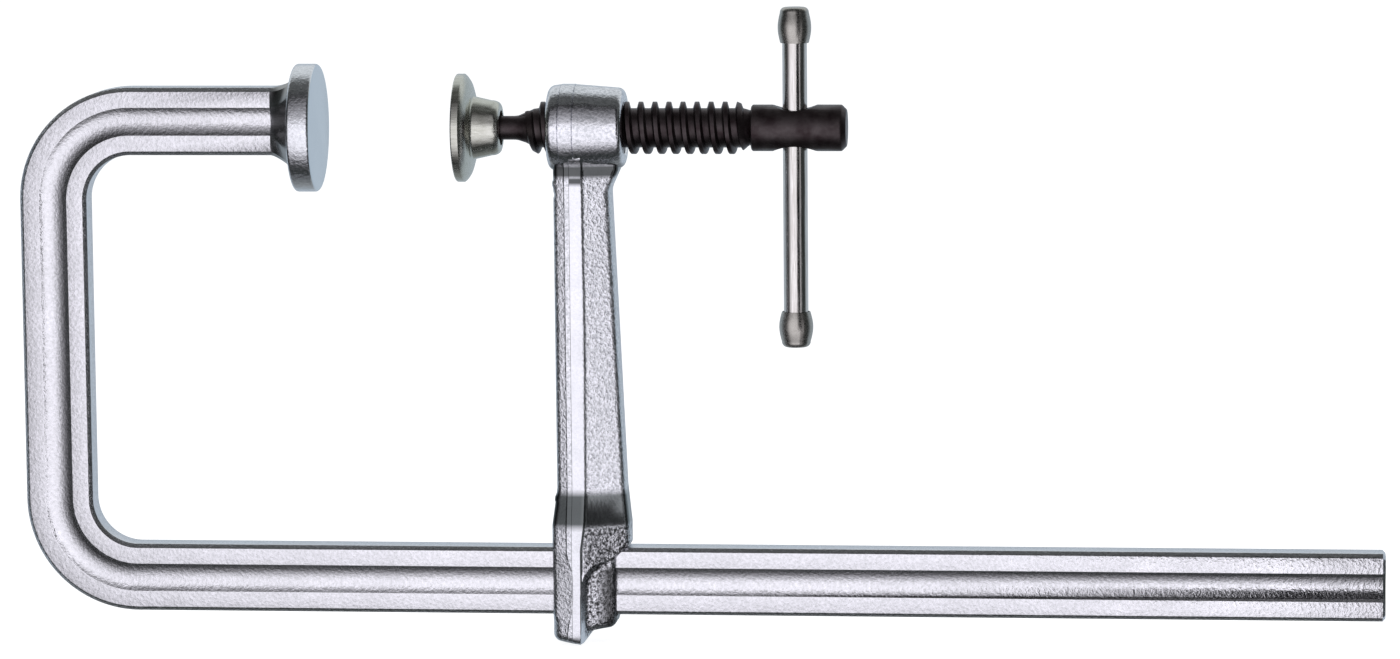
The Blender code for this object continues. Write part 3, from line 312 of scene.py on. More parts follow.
# Painted shade tones: a patch in the foot's recess, the hollow under the boss, and the shoulder's slopes left
# and right of the land
FOOT_SHADE = (0.06, 0.06, 0.06)
HOLLOW_SHADE = (0.10, 0.105, 0.105)
SLOPE_SHADE = (0.11, 0.12, 0.12)
SLOPE_RIGHT_SHADE = (0.22, 0.235, 0.235)
FORGED_RELIEF = 0.36 * MM
FORGED_GRAIN = 0.9 * MM
FORGED_PIT_RANGE = (0.36, 0.58)
FORGED_CLOUD = 9.0 * MM
FORGED_CLOUD_RANGE = (0.40, 0.70)
FORGED_CLOUDING = 0.2
FORGED_ROUGHNESS = (0.19, 0.26)
FACE_RELIEF = 0.7
LAND_RELIEF = 0.18
SHOULDER_RELIEF = 0.1
BOSS_RELIEF = 0.34
HOLLOW_RELIEF = 0.2
FOOT_RELIEF = 0.6
BOSS_GLOSS = 0.06
LAND_CLEARNESS = 0.8
LAND_FADE = 0.1 * MM
LAND_START_Z = (-14.0 * MM, -13.0 * MM)
LAND_SHADE_Z = (-16.2 * MM, -15.0 * MM)
BOSS_FOOT_Z = (-13.5 * MM, -12.5 * MM)
HOLLOW_Z = (-13.6 * MM, -10.0 * MM)
HOLLOW_FADE = 0.7 * MM
SHOULDER_FADE = 1.1 * MM
SLOPE_SHADE_FADE = 1.0 * MM
FOOT_FADE = 0.6 * MM
# Where the painted shade in the foot's recess lies: setbacks from the arm's left face, drops below the rail's
# top, and its strength
SHADE_SETBACKS = (12.6 * MM, 16.2 * MM)
SHADE_DROPS = (4.0 * MM, 7.0 * MM)
SHADE_SHARE = 0.85

# Turned and drawn surfaces: bright and dark tone, roughness, stretch of the streaks, depth of the relief
STREAK_GRAIN = 0.5 * MM
STREAK_CLOUD = 7.0 * MM
STREAK_CLOUDING = 0.35
STREAK_ROUGHNESS = (-0.05, 0.08)
STREAKED = {
    "turned_zinc": ((0.72, 0.72, 0.66), (0.50, 0.50, 0.44), 0.24, (0.12, 1.0, 1.0), 0.02 * MM),
    "bright_bar": ((0.84, 0.82, 0.80), (0.60, 0.57, 0.54), 0.17, (1.0, 1.0, 0.06), 0.008 * MM),
    "dull_knob": ((0.56, 0.54, 0.50), (0.40, 0.38, 0.35), 0.28, (1.0, 1.0, 1.0), 0.01 * MM),
    "spring_wire": ((0.40, 0.40, 0.41), (0.25, 0.25, 0.26), 0.35, (1.0, 1.0, 1.0), 0.01 * MM),
}

# Blackened steel
BLACK_TONES = ((0.030, 0.020, 0.022), (0.075, 0.062, 0.064))
BLACK_METALLIC = 0.85
BLACK_ROUGHNESS = (0.28, 0.42)
BLACK_GRAIN = 0.35 * MM
BLACK_CLOUD = 5.0 * MM
BLACK_RELIEF = 0.02 * MM

# Studio: what the camera and the metal see round the object
FLOOR_HALF_SIZE = 12.0
FLOOR_DROP = 0.5 * MM
FLOOR_COLOUR = (0.60, 0.60, 0.61)
FLOOR_ROUGHNESS = 0.9
FLOOR_CAMERA_GLOW = (0.90, 0.90, 0.90)
ROOM_DIM = (0.04, 0.045, 0.045)
ROOM_UP = (0.10, 0.105, 0.105)
ROOM_FOOT = (0.28, 0.30, 0.31)
ROOM_BACK = (0.50, 0.57, 0.64)
ROOM_BACK_HIGH = (0.74, 0.78, 0.80)
ROOM_FILL = (0.25, 0.25, 0.26)
ROOM_FOOT_FADE = (-0.80, -0.50)
ROOM_BACK_FADE = (0.30, 0.45)
ROOM_UP_FADE = (0.40, 0.60)
ROOM_DEPTH_FADE = (0.15, 0.40)
WHITE = (1.0, 1.0, 1.0)
BLACK = (0.0, 0.0, 0.0)

# Lamp for the floor's shadow, and the camera: place, turn and dip and roll in degrees, lens in mm
BOX_PLACE = (0.10, -0.70, 0.90)
BOX_AIM = (0.10, 0.0, -0.06)
BOX_SIZE = (1.2, 0.8)
BOX_POWER = 6.0
CAMERA_PLACE = (0.2639, -1.5051, 0.1274)
CAMERA_TURN = 5.88
CAMERA_DIP = 6.97
CAMERA_ROLL = -0.48
CAMERA_LENS = 137.7
CAMERA_SENSOR = 36.0

# Soft reflector card in front: its brightness across and up, as (place, level)
CARD_Y = -0.28
CARD_LOW = (-0.90, -0.80)
CARD_HIGH = (0.60, 0.70)
CARD_COLOUR = (0.97, 0.96, 1.02)
CARD_ACROSS = (
    (-0.80, 0.02), (-0.50, 0.11), (-0.37, 0.20), (-0.255, 0.38), (-0.194, 0.66), (-0.147, 0.94),
    (-0.094, 1.14), (-0.04, 1.20), (0.04, 1.26), (0.113, 1.20), (0.20, 1.25), (0.26, 1.60),
    (0.31, 1.60), (0.345, 0.0), (0.40, 0.0), (0.43, 1.0), (0.52, 1.0), (0.56, 0.0),
)
CARD_UP = (
    (-0.60, 0.08), (-0.47, 0.17), (-0.39, 0.30), (-0.31, 0.46), (-0.25, 0.68), (-0.20, 0.88),
    (-0.15, 0.98), (-0.03, 1.02), (0.03, 1.04), (0.05, 0.88), (0.075, 0.66), (0.107, 0.48),
    (0.168, 0.35), (0.24, 0.24), (0.36, 0.14), (0.60, 0.0),
)

# Where the card's upper part ends on the right, and its far strip for the arm at the rail's end
CARD_EDGE = (0.21, 0.23)
CARD_EDGE_FOOT = (-0.13, -0.105)
CARD_EDGE_FAR = (0.37, 0.39)
CARD_FAR_SHARE = 0.55


# Shapes

def arc(centre, radius, start, end, steps):
    """Points of an arc in a plane, both ends included."""
    points = []
    for index in range(steps + 1):
        angle = start + (end - start) * index / steps
        points.append((centre[0] + radius * math.cos(angle), centre[1] + radius * math.sin(angle)))
    return points


def rounded_outline(corners, steps):
    """An outline through corners (x, y, radius), each rounded to its own radius."""
    outline = []
    count = len(corners)
    for index, (x, y, radius) in enumerate(corners):
        if radius == 0.0:
            outline.append((x, y))
            continue
        corner = Vector((x, y))
        before = Vector(corners[index - 1][:2]) - corner
        after = Vector(corners[(index + 1) % count][:2]) - corner
        half_angle = before.angle(after) / 2
        reach = radius / math.tan(half_angle)
        inward = (before.normalized() + after.normalized()).normalized()
        middle = corner + inward * radius / math.sin(half_angle)
        first = corner + before.normalized() * reach - middle
        last = corner + after.normalized() * reach - middle
        turn = first.angle_signed(last)
        for step in range(steps + 1):
            point = middle + Matrix.Rotation(-turn * step / steps, 2) @ first
            outline.append((point.x, point.y))
    return outline


def rod_profile(half_length, radius):
    """Profile of a plain rod about its middle."""
    return [(half_length, 0.0), (half_length, radius), (-half_length, radius), (-half_length, 0.0)]


def upright_at(x):
    """The place of a solid that is turned about an upright axis."""
    return Matrix.Translation((x, 0.0, 0.0))


def mesh_from(working, name):
    """A mesh from a bmesh, welded and with its faces pointing out."""
    bmesh.ops.remove_doubles(working, verts=working.verts, dist=1e-7)
    bmesh.ops.recalc_face_normals(working, faces=working.faces)
    data = bpy.data.meshes.new(name)
    working.to_mesh(data)
    working.free()
    return data


def turned_mesh(name, profile, steps, turn=AXIS_X, wobble=None):
    """A solid turned about an axis, from (distance along the axis, radius) points.

    The wobble is a function of distance, radius and angle that gives the radius there.
    """
    working = bmesh.new()
    rings = []
    for along, radius in profile:
        if radius == 0.0:
            rings.append([working.verts.new((0.0, 0.0, along))])
            continue
        ring = []
        for index in range(steps):
            angle = 2 * math.pi * index / steps
            here = wobble(along, radius, angle) if wobble else radius
            ring.append(working.verts.new((here * math.cos(angle), here * math.sin(angle), along)))
        rings.append(ring)
    for lower, upper in zip(rings, rings[1:]):
        for index in range(steps):
            after = (index + 1) % steps
            corners = [lower[index % len(lower)], lower[after % len(lower)]]
            corners += [upper[after % len(upper)], upper[index % len(upper)]]
            corners = list(dict.fromkeys(corners))
            if len(corners) > 2:
                working.faces.new(corners)
    data = mesh_from(working, name)
    data.transform(turn)
    return data


def lofted_mesh(name, rings):
    """A closed solid through rings that have the same number of points."""
    working = bmesh.new()
    loops = [[working.verts.new(point) for point in ring] for ring in rings]
    count = len(loops[0])
    for lower, upper in zip(loops, loops[1:]):
        for index in range(count):
            after = (index + 1) % count
            working.faces.new((lower[index], lower[after], upper[after], upper[index]))
    working.faces.new(loops[0])
    working.faces.new(loops[-1])
    return mesh_from(working, name)


def add_object(name, data):
    """A new object in the scene."""
    item = bpy.data.objects.new(name, data)
    bpy.context.scene.collection.objects.link(item)
    return item


def combined(base, others):
    """The mesh of a shape after other shapes were cut from it or joined to it."""
    blank = add_object("blank", base)
    helpers = []
    for data, operation in others:
        helper = add_object("helper", data)
        helpers.append(helper)
        step = blank.modifiers.new(operation, "BOOLEAN")
        step.operation = operation
        step.solver = "EXACT"
        step.object = helper
    bpy.context.view_layer.update()
    graph = bpy.context.evaluated_depsgraph_get()
    made = bpy.data.meshes.new_from_object(blank.evaluated_get(graph))
    for item in [blank, *helpers]:
        bpy.data.objects.remove(item, do_unlink=True)
    return made


def box_mesh(low, high):
    """A plain box between two corners, for cutting."""
    working = bmesh.new()
    bmesh.ops.create_cube(working, size=1.0)
    bmesh.ops.scale(working, vec=Vector(high) - Vector(low), verts=working.verts)
    bmesh.ops.translate(working, vec=(Vector(high) + Vector(low)) / 2, verts=working.verts)
    return mesh_from(working, "box")


def add_piece(name, data, surface, slot, body, *nodes):
    """A finished piece of the dressed part, which stands for CAD nodes and rides on their body."""
    data.shade_smooth()
    data.set_sharp_from_angle(angle=SHARP_ANGLE)
    data.materials.clear()
    data.materials.append(surface)
    piece = add_object(name, data)
    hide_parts(*nodes)
    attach(piece, body)


# Bar with its bow, rail and neck

def bar_section(half_height):
    """Closed cross-section of the bar as (height, depth), with small radii on all its edges."""
    half_thickness = BAR_THICKNESS / 2
    half_groove = GROOVE_WIDTH / 2
    radius = (half_groove ** 2 + GROOVE_DEPTH ** 2) / (2 * GROOVE_DEPTH)
    spread = math.asin(half_groove / radius)
    start = -math.pi / 2 - spread
    centre = half_thickness - GROOVE_DEPTH + radius
    groove = arc((0.0, centre), radius, start, start + 2 * spread, GROOVE_STEPS)
    corners = [
        (-half_height, half_thickness - BAR_CHAMFER, BAR_EDGE_RADIUS),
        (-half_height + BAR_CHAMFER, half_thickness, BAR_EDGE_RADIUS),
        (*groove[0], BAR_EDGE_RADIUS),
        *[(*point, 0.0) for point in groove[1:-1]],
        (*groove[-1], BAR_EDGE_RADIUS),
        (half_height - BAR_CHAMFER, half_thickness, BAR_EDGE_RADIUS),
        (half_height, half_thickness - BAR_CHAMFER, BAR_EDGE_RADIUS),
    ]
    corners += [(-height, -depth, rounding) for height, depth, rounding in corners]
    return rounded_outline(corners, steps=3)


def bar_stations(neck_x, bow_x, rail_x, rail_z, half_height):
    """Places (x, z, direction) of the bar's middle line, from the neck round the bow to the rail's end."""
    bend = BEND_INNER_RADIUS + half_height
    centre_x = bow_x + half_height + bend
    stations = [(neck_x, UPPER_BAR_OFFSET, math.pi)]
    for first, centre_z in ((1, UPPER_BAR_OFFSET - bend), (2, rail_z + bend)):
        for index in range(BEND_STEPS + 1):
            angle = math.pi / 2 * (first + index / BEND_STEPS)
            place = (centre_x + bend * math.cos(angle), centre_z + bend * math.sin(angle))
            stations.append((*place, angle + math.pi / 2))
    stations.append((rail_x - RAIL_END_CHAMFER, rail_z, 2 * math.pi))
    return stations


def neck_rings(section, start_x):
    """Rings from the tenon's end back to the bar: the bar's section is upset into a round collar."""
    end_x = start_x + NECK_LENGTH
    rings = []
    for x in (end_x + TENON_LENGTH, end_x):
        ring = []
        for height, depth in section:
            angle = math.atan2(height, depth)
            ring.append((x, TENON_RADIUS * math.cos(angle), TENON_RADIUS * math.sin(angle)))
        rings.append(ring)
    for station in range(NECK_STATIONS, 0, -1):
        share = station / NECK_STATIONS
        wider = share ** NECK_WIDTH_POWER
        taller = share ** NECK_HEIGHT_POWER
        middle = UPPER_BAR_OFFSET + (NECK_END_OFFSET - UPPER_BAR_OFFSET) * share
        ring = []
        for height, depth in section:
            angle = math.atan2(height, depth)
            y = depth + (NECK_RADIUS * math.cos(angle) - depth) * wider
            z = height + (NECK_RADIUS * math.sin(angle) - height) * taller
            ring.append((start_x + NECK_LENGTH * share, y, middle + z))
        rings.append(ring)
    return rings


def frame_mesh():
    """The neck, the bow and the rail in one sweep."""
    low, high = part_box("frame_rail")
    half_height = (RAIL_TOP_Z - low.z) / 2
    rail_z = low.z + half_height
    section = bar_section(half_height)
    neck_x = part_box("anvil_disc")[0].x - TOUCH_GAP - NECK_LENGTH
    rings = neck_rings(section, neck_x)
    for x, z, direction in bar_stations(neck_x, low.x, high.x, rail_z, half_height):
        across = (math.sin(direction), -math.cos(direction))
        ring = []
        for height, depth in section:
            ring.append((x + across[0] * height, depth, z + across[1] * height))
        rings.append(ring)
    shorter = 1.0 - RAIL_END_CHAMFER / half_height
    thinner = 1.0 - 2 * RAIL_END_CHAMFER / BAR_THICKNESS
    rings.append([(high.x, depth * thinner, rail_z - height * shorter) for height, depth in section])
    return lofted_mesh("frame", rings)


def anvil_mesh():
    """The round anvil with its socket for the tenon."""
    low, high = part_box("anvil_disc")
    socket_radius = TENON_RADIUS + TOUCH_GAP
    socket_bottom = low.x + TENON_LENGTH
    corner = high.z - ANVIL_ROUNDING
    front = arc((high.x - ANVIL_ROUNDING, corner), ANVIL_ROUNDING, 0.0, math.pi / 2, steps=6)
    back = arc((low.x + ANVIL_ROUNDING, corner), ANVIL_ROUNDING, math.pi / 2, math.pi, steps=6)
    profile = [(high.x, 0.0)] + front + back
    profile += [(low.x, socket_radius), (socket_bottom, socket_radius), (socket_bottom, 0.0)]
    return turned_mesh("anvil", profile, ANVIL_STEPS)


# Arm

def arm_outline():
    """Side view of the arm from inside its boss down to the foot, from corners (x, z, rounding)."""
    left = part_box("sliding_arm")[0].x
    rail_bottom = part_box("frame_rail")[0].z
    shoulder_foot = RAIL_TOP_Z + SHOULDER_LIFT
    shoulder_top = shoulder_foot + SHOULDER_LENGTH
    toe_z = rail_bottom - TOE_DEPTH
    heel_z = rail_bottom - HEEL_DEPTH
    top_left = left + BEAM_TOP_SETBACK
    top_right = top_left + BEAM_TOP_WIDTH
    foot_left = left + BEAM_FOOT_SETBACK
    foot_right = foot_left + BEAM_FOOT_WIDTH
    clamp_left = left + CLAMP_SETBACK
    clamp_right = clamp_left + CLAMP_WIDTH
    bearing_right = clamp_left + BEARING_WIDTH
    corners = [
        (top_left, -BOSS_RADIUS / 2, 0.0),
        (top_right + WEB_REACH, -BOSS_RADIUS / 2, 0.0),
        (top_right + WEB_REACH, -BOSS_RADIUS + WEB_LIFT, 0.0),
        (top_right, -BOSS_RADIUS - WEB_DROP, 5.0 * MM),
        (foot_right, shoulder_top, 8.0 * MM),
        (bearing_right, shoulder_foot, 4.0 * MM),
        (bearing_right, RAIL_TOP_Z + BEARING_LIFT, 1.2 * MM),
        (clamp_right, RAIL_TOP_Z - BEARING_DROP, 0.8 * MM),
        (clamp_right, heel_z + HEEL_RISE, 2.6 * MM),
        (clamp_left + HEEL_WIDTH, heel_z, 1.5 * MM),
        (clamp_left + TOE_WIDTH, toe_z, 1.5 * MM),
        (clamp_left, toe_z + TOE_RISE, 2.4 * MM),
        (clamp_left, shoulder_foot, 5.0 * MM),
        (foot_left, shoulder_top, 4.0 * MM),
    ]
    return np.array(rounded_outline(corners, steps=8))


def recess_outline():
    """Side view of the cut that thins the lower right of the clamp; its left side is the S-shaped rim."""
    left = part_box("sliding_arm")[0].x
    rim = left + RIM_SETBACK
    clamp_right = left + CLAMP_SETBACK + CLAMP_WIDTH
    far = clamp_right + RECESS_MARGIN
    low = RAIL_TOP_Z - RECESS_LENGTH
    corners = [
        (far, RAIL_TOP_Z + RIM_TOP_LIFT, 0.0),
        (clamp_right, RAIL_TOP_Z - RIM_RIGHT_DROP, 4.0 * MM),
        (rim, RAIL_TOP_Z - RIM_BEND_DROP, 8.0 * MM),
        (rim - RIM_SLANT, low, 0.0),
        (far, low, 0.0),
    ]
    return np.array(rounded_outline(corners, steps=16))


def crossings(outline, height):
    """Leftmost and rightmost place where an outline crosses a height."""
    after = np.roll(outline, -1, axis=0)
    first, second = outline[:, 1], after[:, 1]
    hit = (first - height) * (second - height) <= 0.0
    hit &= first != second
    share = (height - first[hit]) / (second[hit] - first[hit])
    places = outline[hit, 0] + share * (after[hit, 0] - outline[hit, 0])
    return places.min(), places.max()


def edge_distance(outline, x, z):
    """Distance of each point from the nearest side of an outline."""
    nearest = np.full(x.shape, 1.0)
    for first, second in zip(outline, np.roll(outline, -1, axis=0)):
        along = second - first
        length = float(along @ along)
        if length == 0.0:
            continue
        share = np.clip(((x - first[0]) * along[0] + (z - first[1]) * along[1]) / length, 0.0, 1.0)
        gap = np.hypot(x - first[0] - share * along[0], z - first[1] - share * along[1])
        nearest = np.minimum(nearest, gap)
    return nearest


def smooth_step(value):
    """Rises from 0 to 1 with level ends."""
    value = np.clip(value, 0.0, 1.0)
    return value * value * (3.0 - 2.0 * value)


def arm_half_depth(height):
    """Depth of the arm at its parting land: fillet under the boss, beam, shoulder and clamp."""
    fillet_y = BEAM_HALF_DEPTH + BOSS_FILLET
    fillet_z = -math.sqrt((BOSS_RADIUS + BOSS_FILLET) ** 2 - fillet_y ** 2)
    touch_z = fillet_z * BOSS_RADIUS / (BOSS_RADIUS + BOSS_FILLET)
    if height > fillet_z:
        drop = min(height, touch_z) - fillet_z
        return fillet_y - math.sqrt(BOSS_FILLET ** 2 - drop ** 2)
    rise = (height - RAIL_TOP_Z - SLOPE_FOOT_LIFT) / (SLOPE_TOP_LIFT - SLOPE_FOOT_LIFT)
    straight, eased = SLOPE_SHARES
    share = straight * min(max(rise, 0.0), 1.0) + eased * float(smooth_step(rise))
    return CLAMP_HALF_DEPTH + (BEAM_HALF_DEPTH - CLAMP_HALF_DEPTH) * share


def flash_reach(height):
    """How far the trimmed flash stands out of the arm's left edge, or is nicked into it."""
    reach = 0.0
    for middle, half_height, depth in FLASH_NICKS:
        reach += depth * float(smooth_step(FLASH_STEEPNESS * (1.0 - abs(height - middle) / half_height)))
    return reach


def arm_rows(top, bottom):
    """Heights of the arm's sections, closer together where its form changes."""
    beam_top = -BOSS_RADIUS - ROWS_BELOW_BOSS
    shoulder_top = RAIL_TOP_Z + SHOULDER_LIFT + SHOULDER_LENGTH + ROWS_ABOVE_SHOULDER
    clamp_top = RAIL_TOP_Z + ROWS_ABOVE_RAIL
    edges = (top, beam_top, shoulder_top, clamp_top, bottom)
    rows = []
    for high, low, spacing in zip(edges, edges[1:], ROW_SPACINGS):
        count = round((high - low) / spacing)
        rows += [high + (low - high) * index / count for index in range(count)]
    return rows + [bottom]


def arm_columns(left, right, strip, land_left, land_right):
    """Places across one section of the arm, close together at its edges and at the land."""
    quarter = [math.pi / 2 * index / EDGE_COLUMNS for index in range(EDGE_COLUMNS + 1)]
    columns = [left + EDGE_ROUNDING * (1.0 - math.cos(angle)) for angle in quarter]
    inner = columns[-1]
    columns += [inner + (strip - inner) * index / DRAFT_COLUMNS for index in range(1, DRAFT_COLUMNS)]
    columns += [strip + offset for offset in STRIP_CREASE]
    columns += [land_left + offset for offset in LAND_LEFT_CREASE]
    columns.append((land_left + land_right) / 2)
    columns += [land_right + offset for offset in LAND_RIGHT_CREASE]
    outer = right - EDGE_ROUNDING
    start = columns[-1]
    columns += [start + (outer - start) * index / FACE_COLUMNS for index in range(1, FACE_COLUMNS + 1)]
    columns += [right - EDGE_ROUNDING * (1.0 - math.sin(angle)) for angle in quarter[1:]]
    return columns


def arm_body_mesh():
    """The arm without its boss: a fine skin over its side view, with drafts, land, recess and round edges."""
    outline = arm_outline()
    recess = recess_outline()
    left_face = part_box("sliding_arm")[0].x
    strip = left_face + STRIP_SETBACK
    land_left = strip + STRIP_WIDTH
    rows = arm_rows(outline[:, 1].max() - SKIN_INSET, outline[:, 1].min() + SKIN_INSET)
    land_rights = left_face + np.interp(rows, LAND_EDGE_HEIGHTS, LAND_EDGE_SETBACKS)
    recess_top = recess[:, 1].max() - SKIN_INSET
    foot_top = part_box("frame_rail")[0].z + FOOT_ROUNDING_LIFT
    bulge_end = outline[:, 1].min() + STRIP_BULGE_LIFT
    x = []
    rims = []
    strips = []
    for height, land_right in zip(rows, land_rights):
        left, right = crossings(outline, height)
        middle = (left + right) / 2
        below_bend = smooth_step((RAIL_TOP_Z - height) / STRIP_BULGE_TOP)
        below_bend = below_bend * smooth_step((height - bulge_end) / STRIP_BULGE_FOOT)
        here = strip + STRIP_BULGE * float(below_bend)
        edge_strip = min(max(here, left + STRIP_MARGIN), middle)
        edge_left = max(min(land_left, right - LAND_LEFT_MARGIN), edge_strip + STRIP_LEAST_WIDTH)
        edge_right = max(min(land_right, right - LAND_RIGHT_MARGIN), edge_left + STRIP_LEAST_WIDTH)
        x.append(np.clip(arm_columns(left, right, edge_strip, edge_left, edge_right), left, right))
        strips.append(here)
        rims.append(crossings(recess, min(height, recess_top))[0])
    x = np.sort(np.array(x), axis=1)
    z = np.repeat(np.array(rows)[:, None], x.shape[1], axis=1)
    strips = np.array(strips)[:, None]
    land_right = land_rights[:, None]
    depth = np.array([arm_half_depth(height) for height in rows])[:, None]
    on_clamp = smooth_step((RAIL_TOP_Z + SHOULDER_LIFT + SHOULDER_LENGTH - z) / SHOULDER_LENGTH)
    beyond = np.maximum(x - land_right, 0.0)
    hollow = LAND_PROUD * smooth_step(beyond / LAND_HOLLOW)
    drop = hollow + (RIGHT_DRAFT + (CLAMP_DRAFT - RIGHT_DRAFT) * on_clamp) * beyond
    drop = np.where(x < land_left, STRIP_DROP + STRIP_DRAFT * (land_left - x), drop)
    before = strips - x
    drop = np.where(before > 0.0, STRIP_STEP + LEFT_DRAFT * before, drop)
    y = depth - drop
    rims = np.array(rims)
    slant = np.minimum(np.sqrt(1.0 + np.gradient(rims, np.array(rows)) ** 2), RIM_STEEPEST)
    past_rim = (x - rims[:, None]) / slant[:, None]
    bead = RIM_BEAD * np.exp(-((past_rim + RIM_BEAD_WIDTH) / RIM_BEAD_WIDTH) ** 2)
    y = y + bead * (x > land_right + LAND_HOLLOW)
    past_land = np.maximum(x - land_right - RECESS_DRAFT_SETBACK, 0.0)
    floor_depth = RECESS_HALF_DEPTH - RECESS_DRAFT * past_land
    y = y + (np.minimum(y, floor_depth) - y) * smooth_step(past_rim / RIM_WIDTH + RIM_SHIFT)
    on_foot = smooth_step((foot_top - z) / FOOT_ROUNDING_FADE)
    radius = EDGE_ROUNDING + (FOOT_ROUNDING - EDGE_ROUNDING) * on_foot
    inside = np.minimum(edge_distance(outline, x, z), radius)
    y = y - (radius - np.sqrt(radius ** 2 - (radius - inside) ** 2))
    off_land = (before > 0.0) | (beyond > LAND_HOLLOW)
    for row, column in zip(*np.nonzero(off_land)):
        place = Vector((x[row, column], 0.0, z[row, column])) / FORGING_WAVE_SIZE
        y[row, column] -= FORGING_WAVE * (0.5 + 0.5 * noise.noise(place))
    reach = np.array([flash_reach(height) for height in rows])[:, None]
    x = x - reach * smooth_step(1.0 - (x - x[:, :1]) / FLASH_WIDTH)
    rings = []
    for row in range(y.shape[0]):
        near = [(x[row, column], -y[row, column], rows[row]) for column in range(y.shape[1])]
        far = [(place[0], -place[1], place[2]) for place in reversed(near)]
        rings.append(near + far)
    return lofted_mesh("arm_body", rings)


def boss_mesh():
    """The round boss, with the land round it and a little draft to both sides."""
    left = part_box("sliding_arm")[0].x
    right = left + BOSS_LENGTH
    land_left = left + BOSS_LAND_SETBACK
    land_right = land_left + BOSS_LAND_WIDTH
    body = BOSS_RADIUS - BOSS_LAND_PROUD
    groove = body - BOSS_LINE_DEPTH
    corners = [
        (right, 0.0, 0.0),
        (right, BOSS_RADIUS - BOSS_RIGHT_DRAFT, BOSS_ROUNDING),
        (land_right + BOSS_LINE_WIDTH, body, 0.0),
        (land_right + BOSS_LINE_WIDTH / 2, groove, 0.0),
        (land_right, BOSS_RADIUS, 0.0),
        (land_left, BOSS_RADIUS, 0.0),
        (land_left - BOSS_LINE_WIDTH / 2, groove, 0.0),
        (land_left - BOSS_LINE_WIDTH, body, 0.0),
        (left, BOSS_RADIUS - BOSS_LEFT_DRAFT, BOSS_ROUNDING),
        (left, 0.0, 0.0),
    ]
    return turned_mesh("boss", rounded_outline(corners, steps=7), BOSS_STEPS)


def nut_mouth_mesh(face_x, outward):
    """The countersink at one mouth of the nut thread; outward is +1 or -1 along X."""
    mouth = THREAD_RADIUS + THREAD_PLAY + NUT_MOUTH_CHAMFER
    root = THREAD_RADIUS - THREAD_DEPTH
    beyond = 1.0 * MM
    profile = [
        (face_x + outward * beyond, 0.0),
        (face_x + outward * beyond, mouth + beyond),
        (face_x - outward * (mouth - root), root),
        (face_x - outward * (mouth - root), 0.0),
    ]
    return turned_mesh("nut_mouth", profile, BOSS_STEPS)


def arm_mesh():
    """The whole arm: skin and boss joined, then the rail slot and the nut thread cut."""
    low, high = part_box("sliding_arm")
    rail_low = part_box("frame_rail")[0].z
    slot_y = BAR_THICKNESS / 2 + RAIL_PLAY
    slot = box_mesh(
        (low.x - CUTTER_MARGIN, -slot_y, rail_low - RAIL_PLAY),
        (high.x + CUTTER_MARGIN, slot_y, RAIL_TOP_Z + RAIL_PLAY),
    )
    boss_right = low.x + BOSS_LENGTH
    return combined(arm_body_mesh(), [
        (boss_mesh(), "UNION"),
        (slot, "DIFFERENCE"),
        (nut_mesh(low.x - 2 * PITCH, boss_right + 2 * PITCH), "DIFFERENCE"),
        (nut_mouth_mesh(low.x, -1), "DIFFERENCE"),
        (nut_mouth_mesh(boss_right, 1), "DIFFERENCE"),
    ])


# Screw

def head_start():
    """Where the screw's head begins, counted back from the screw's end."""
    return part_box("spindle")[1].x - HEAD_LENGTH


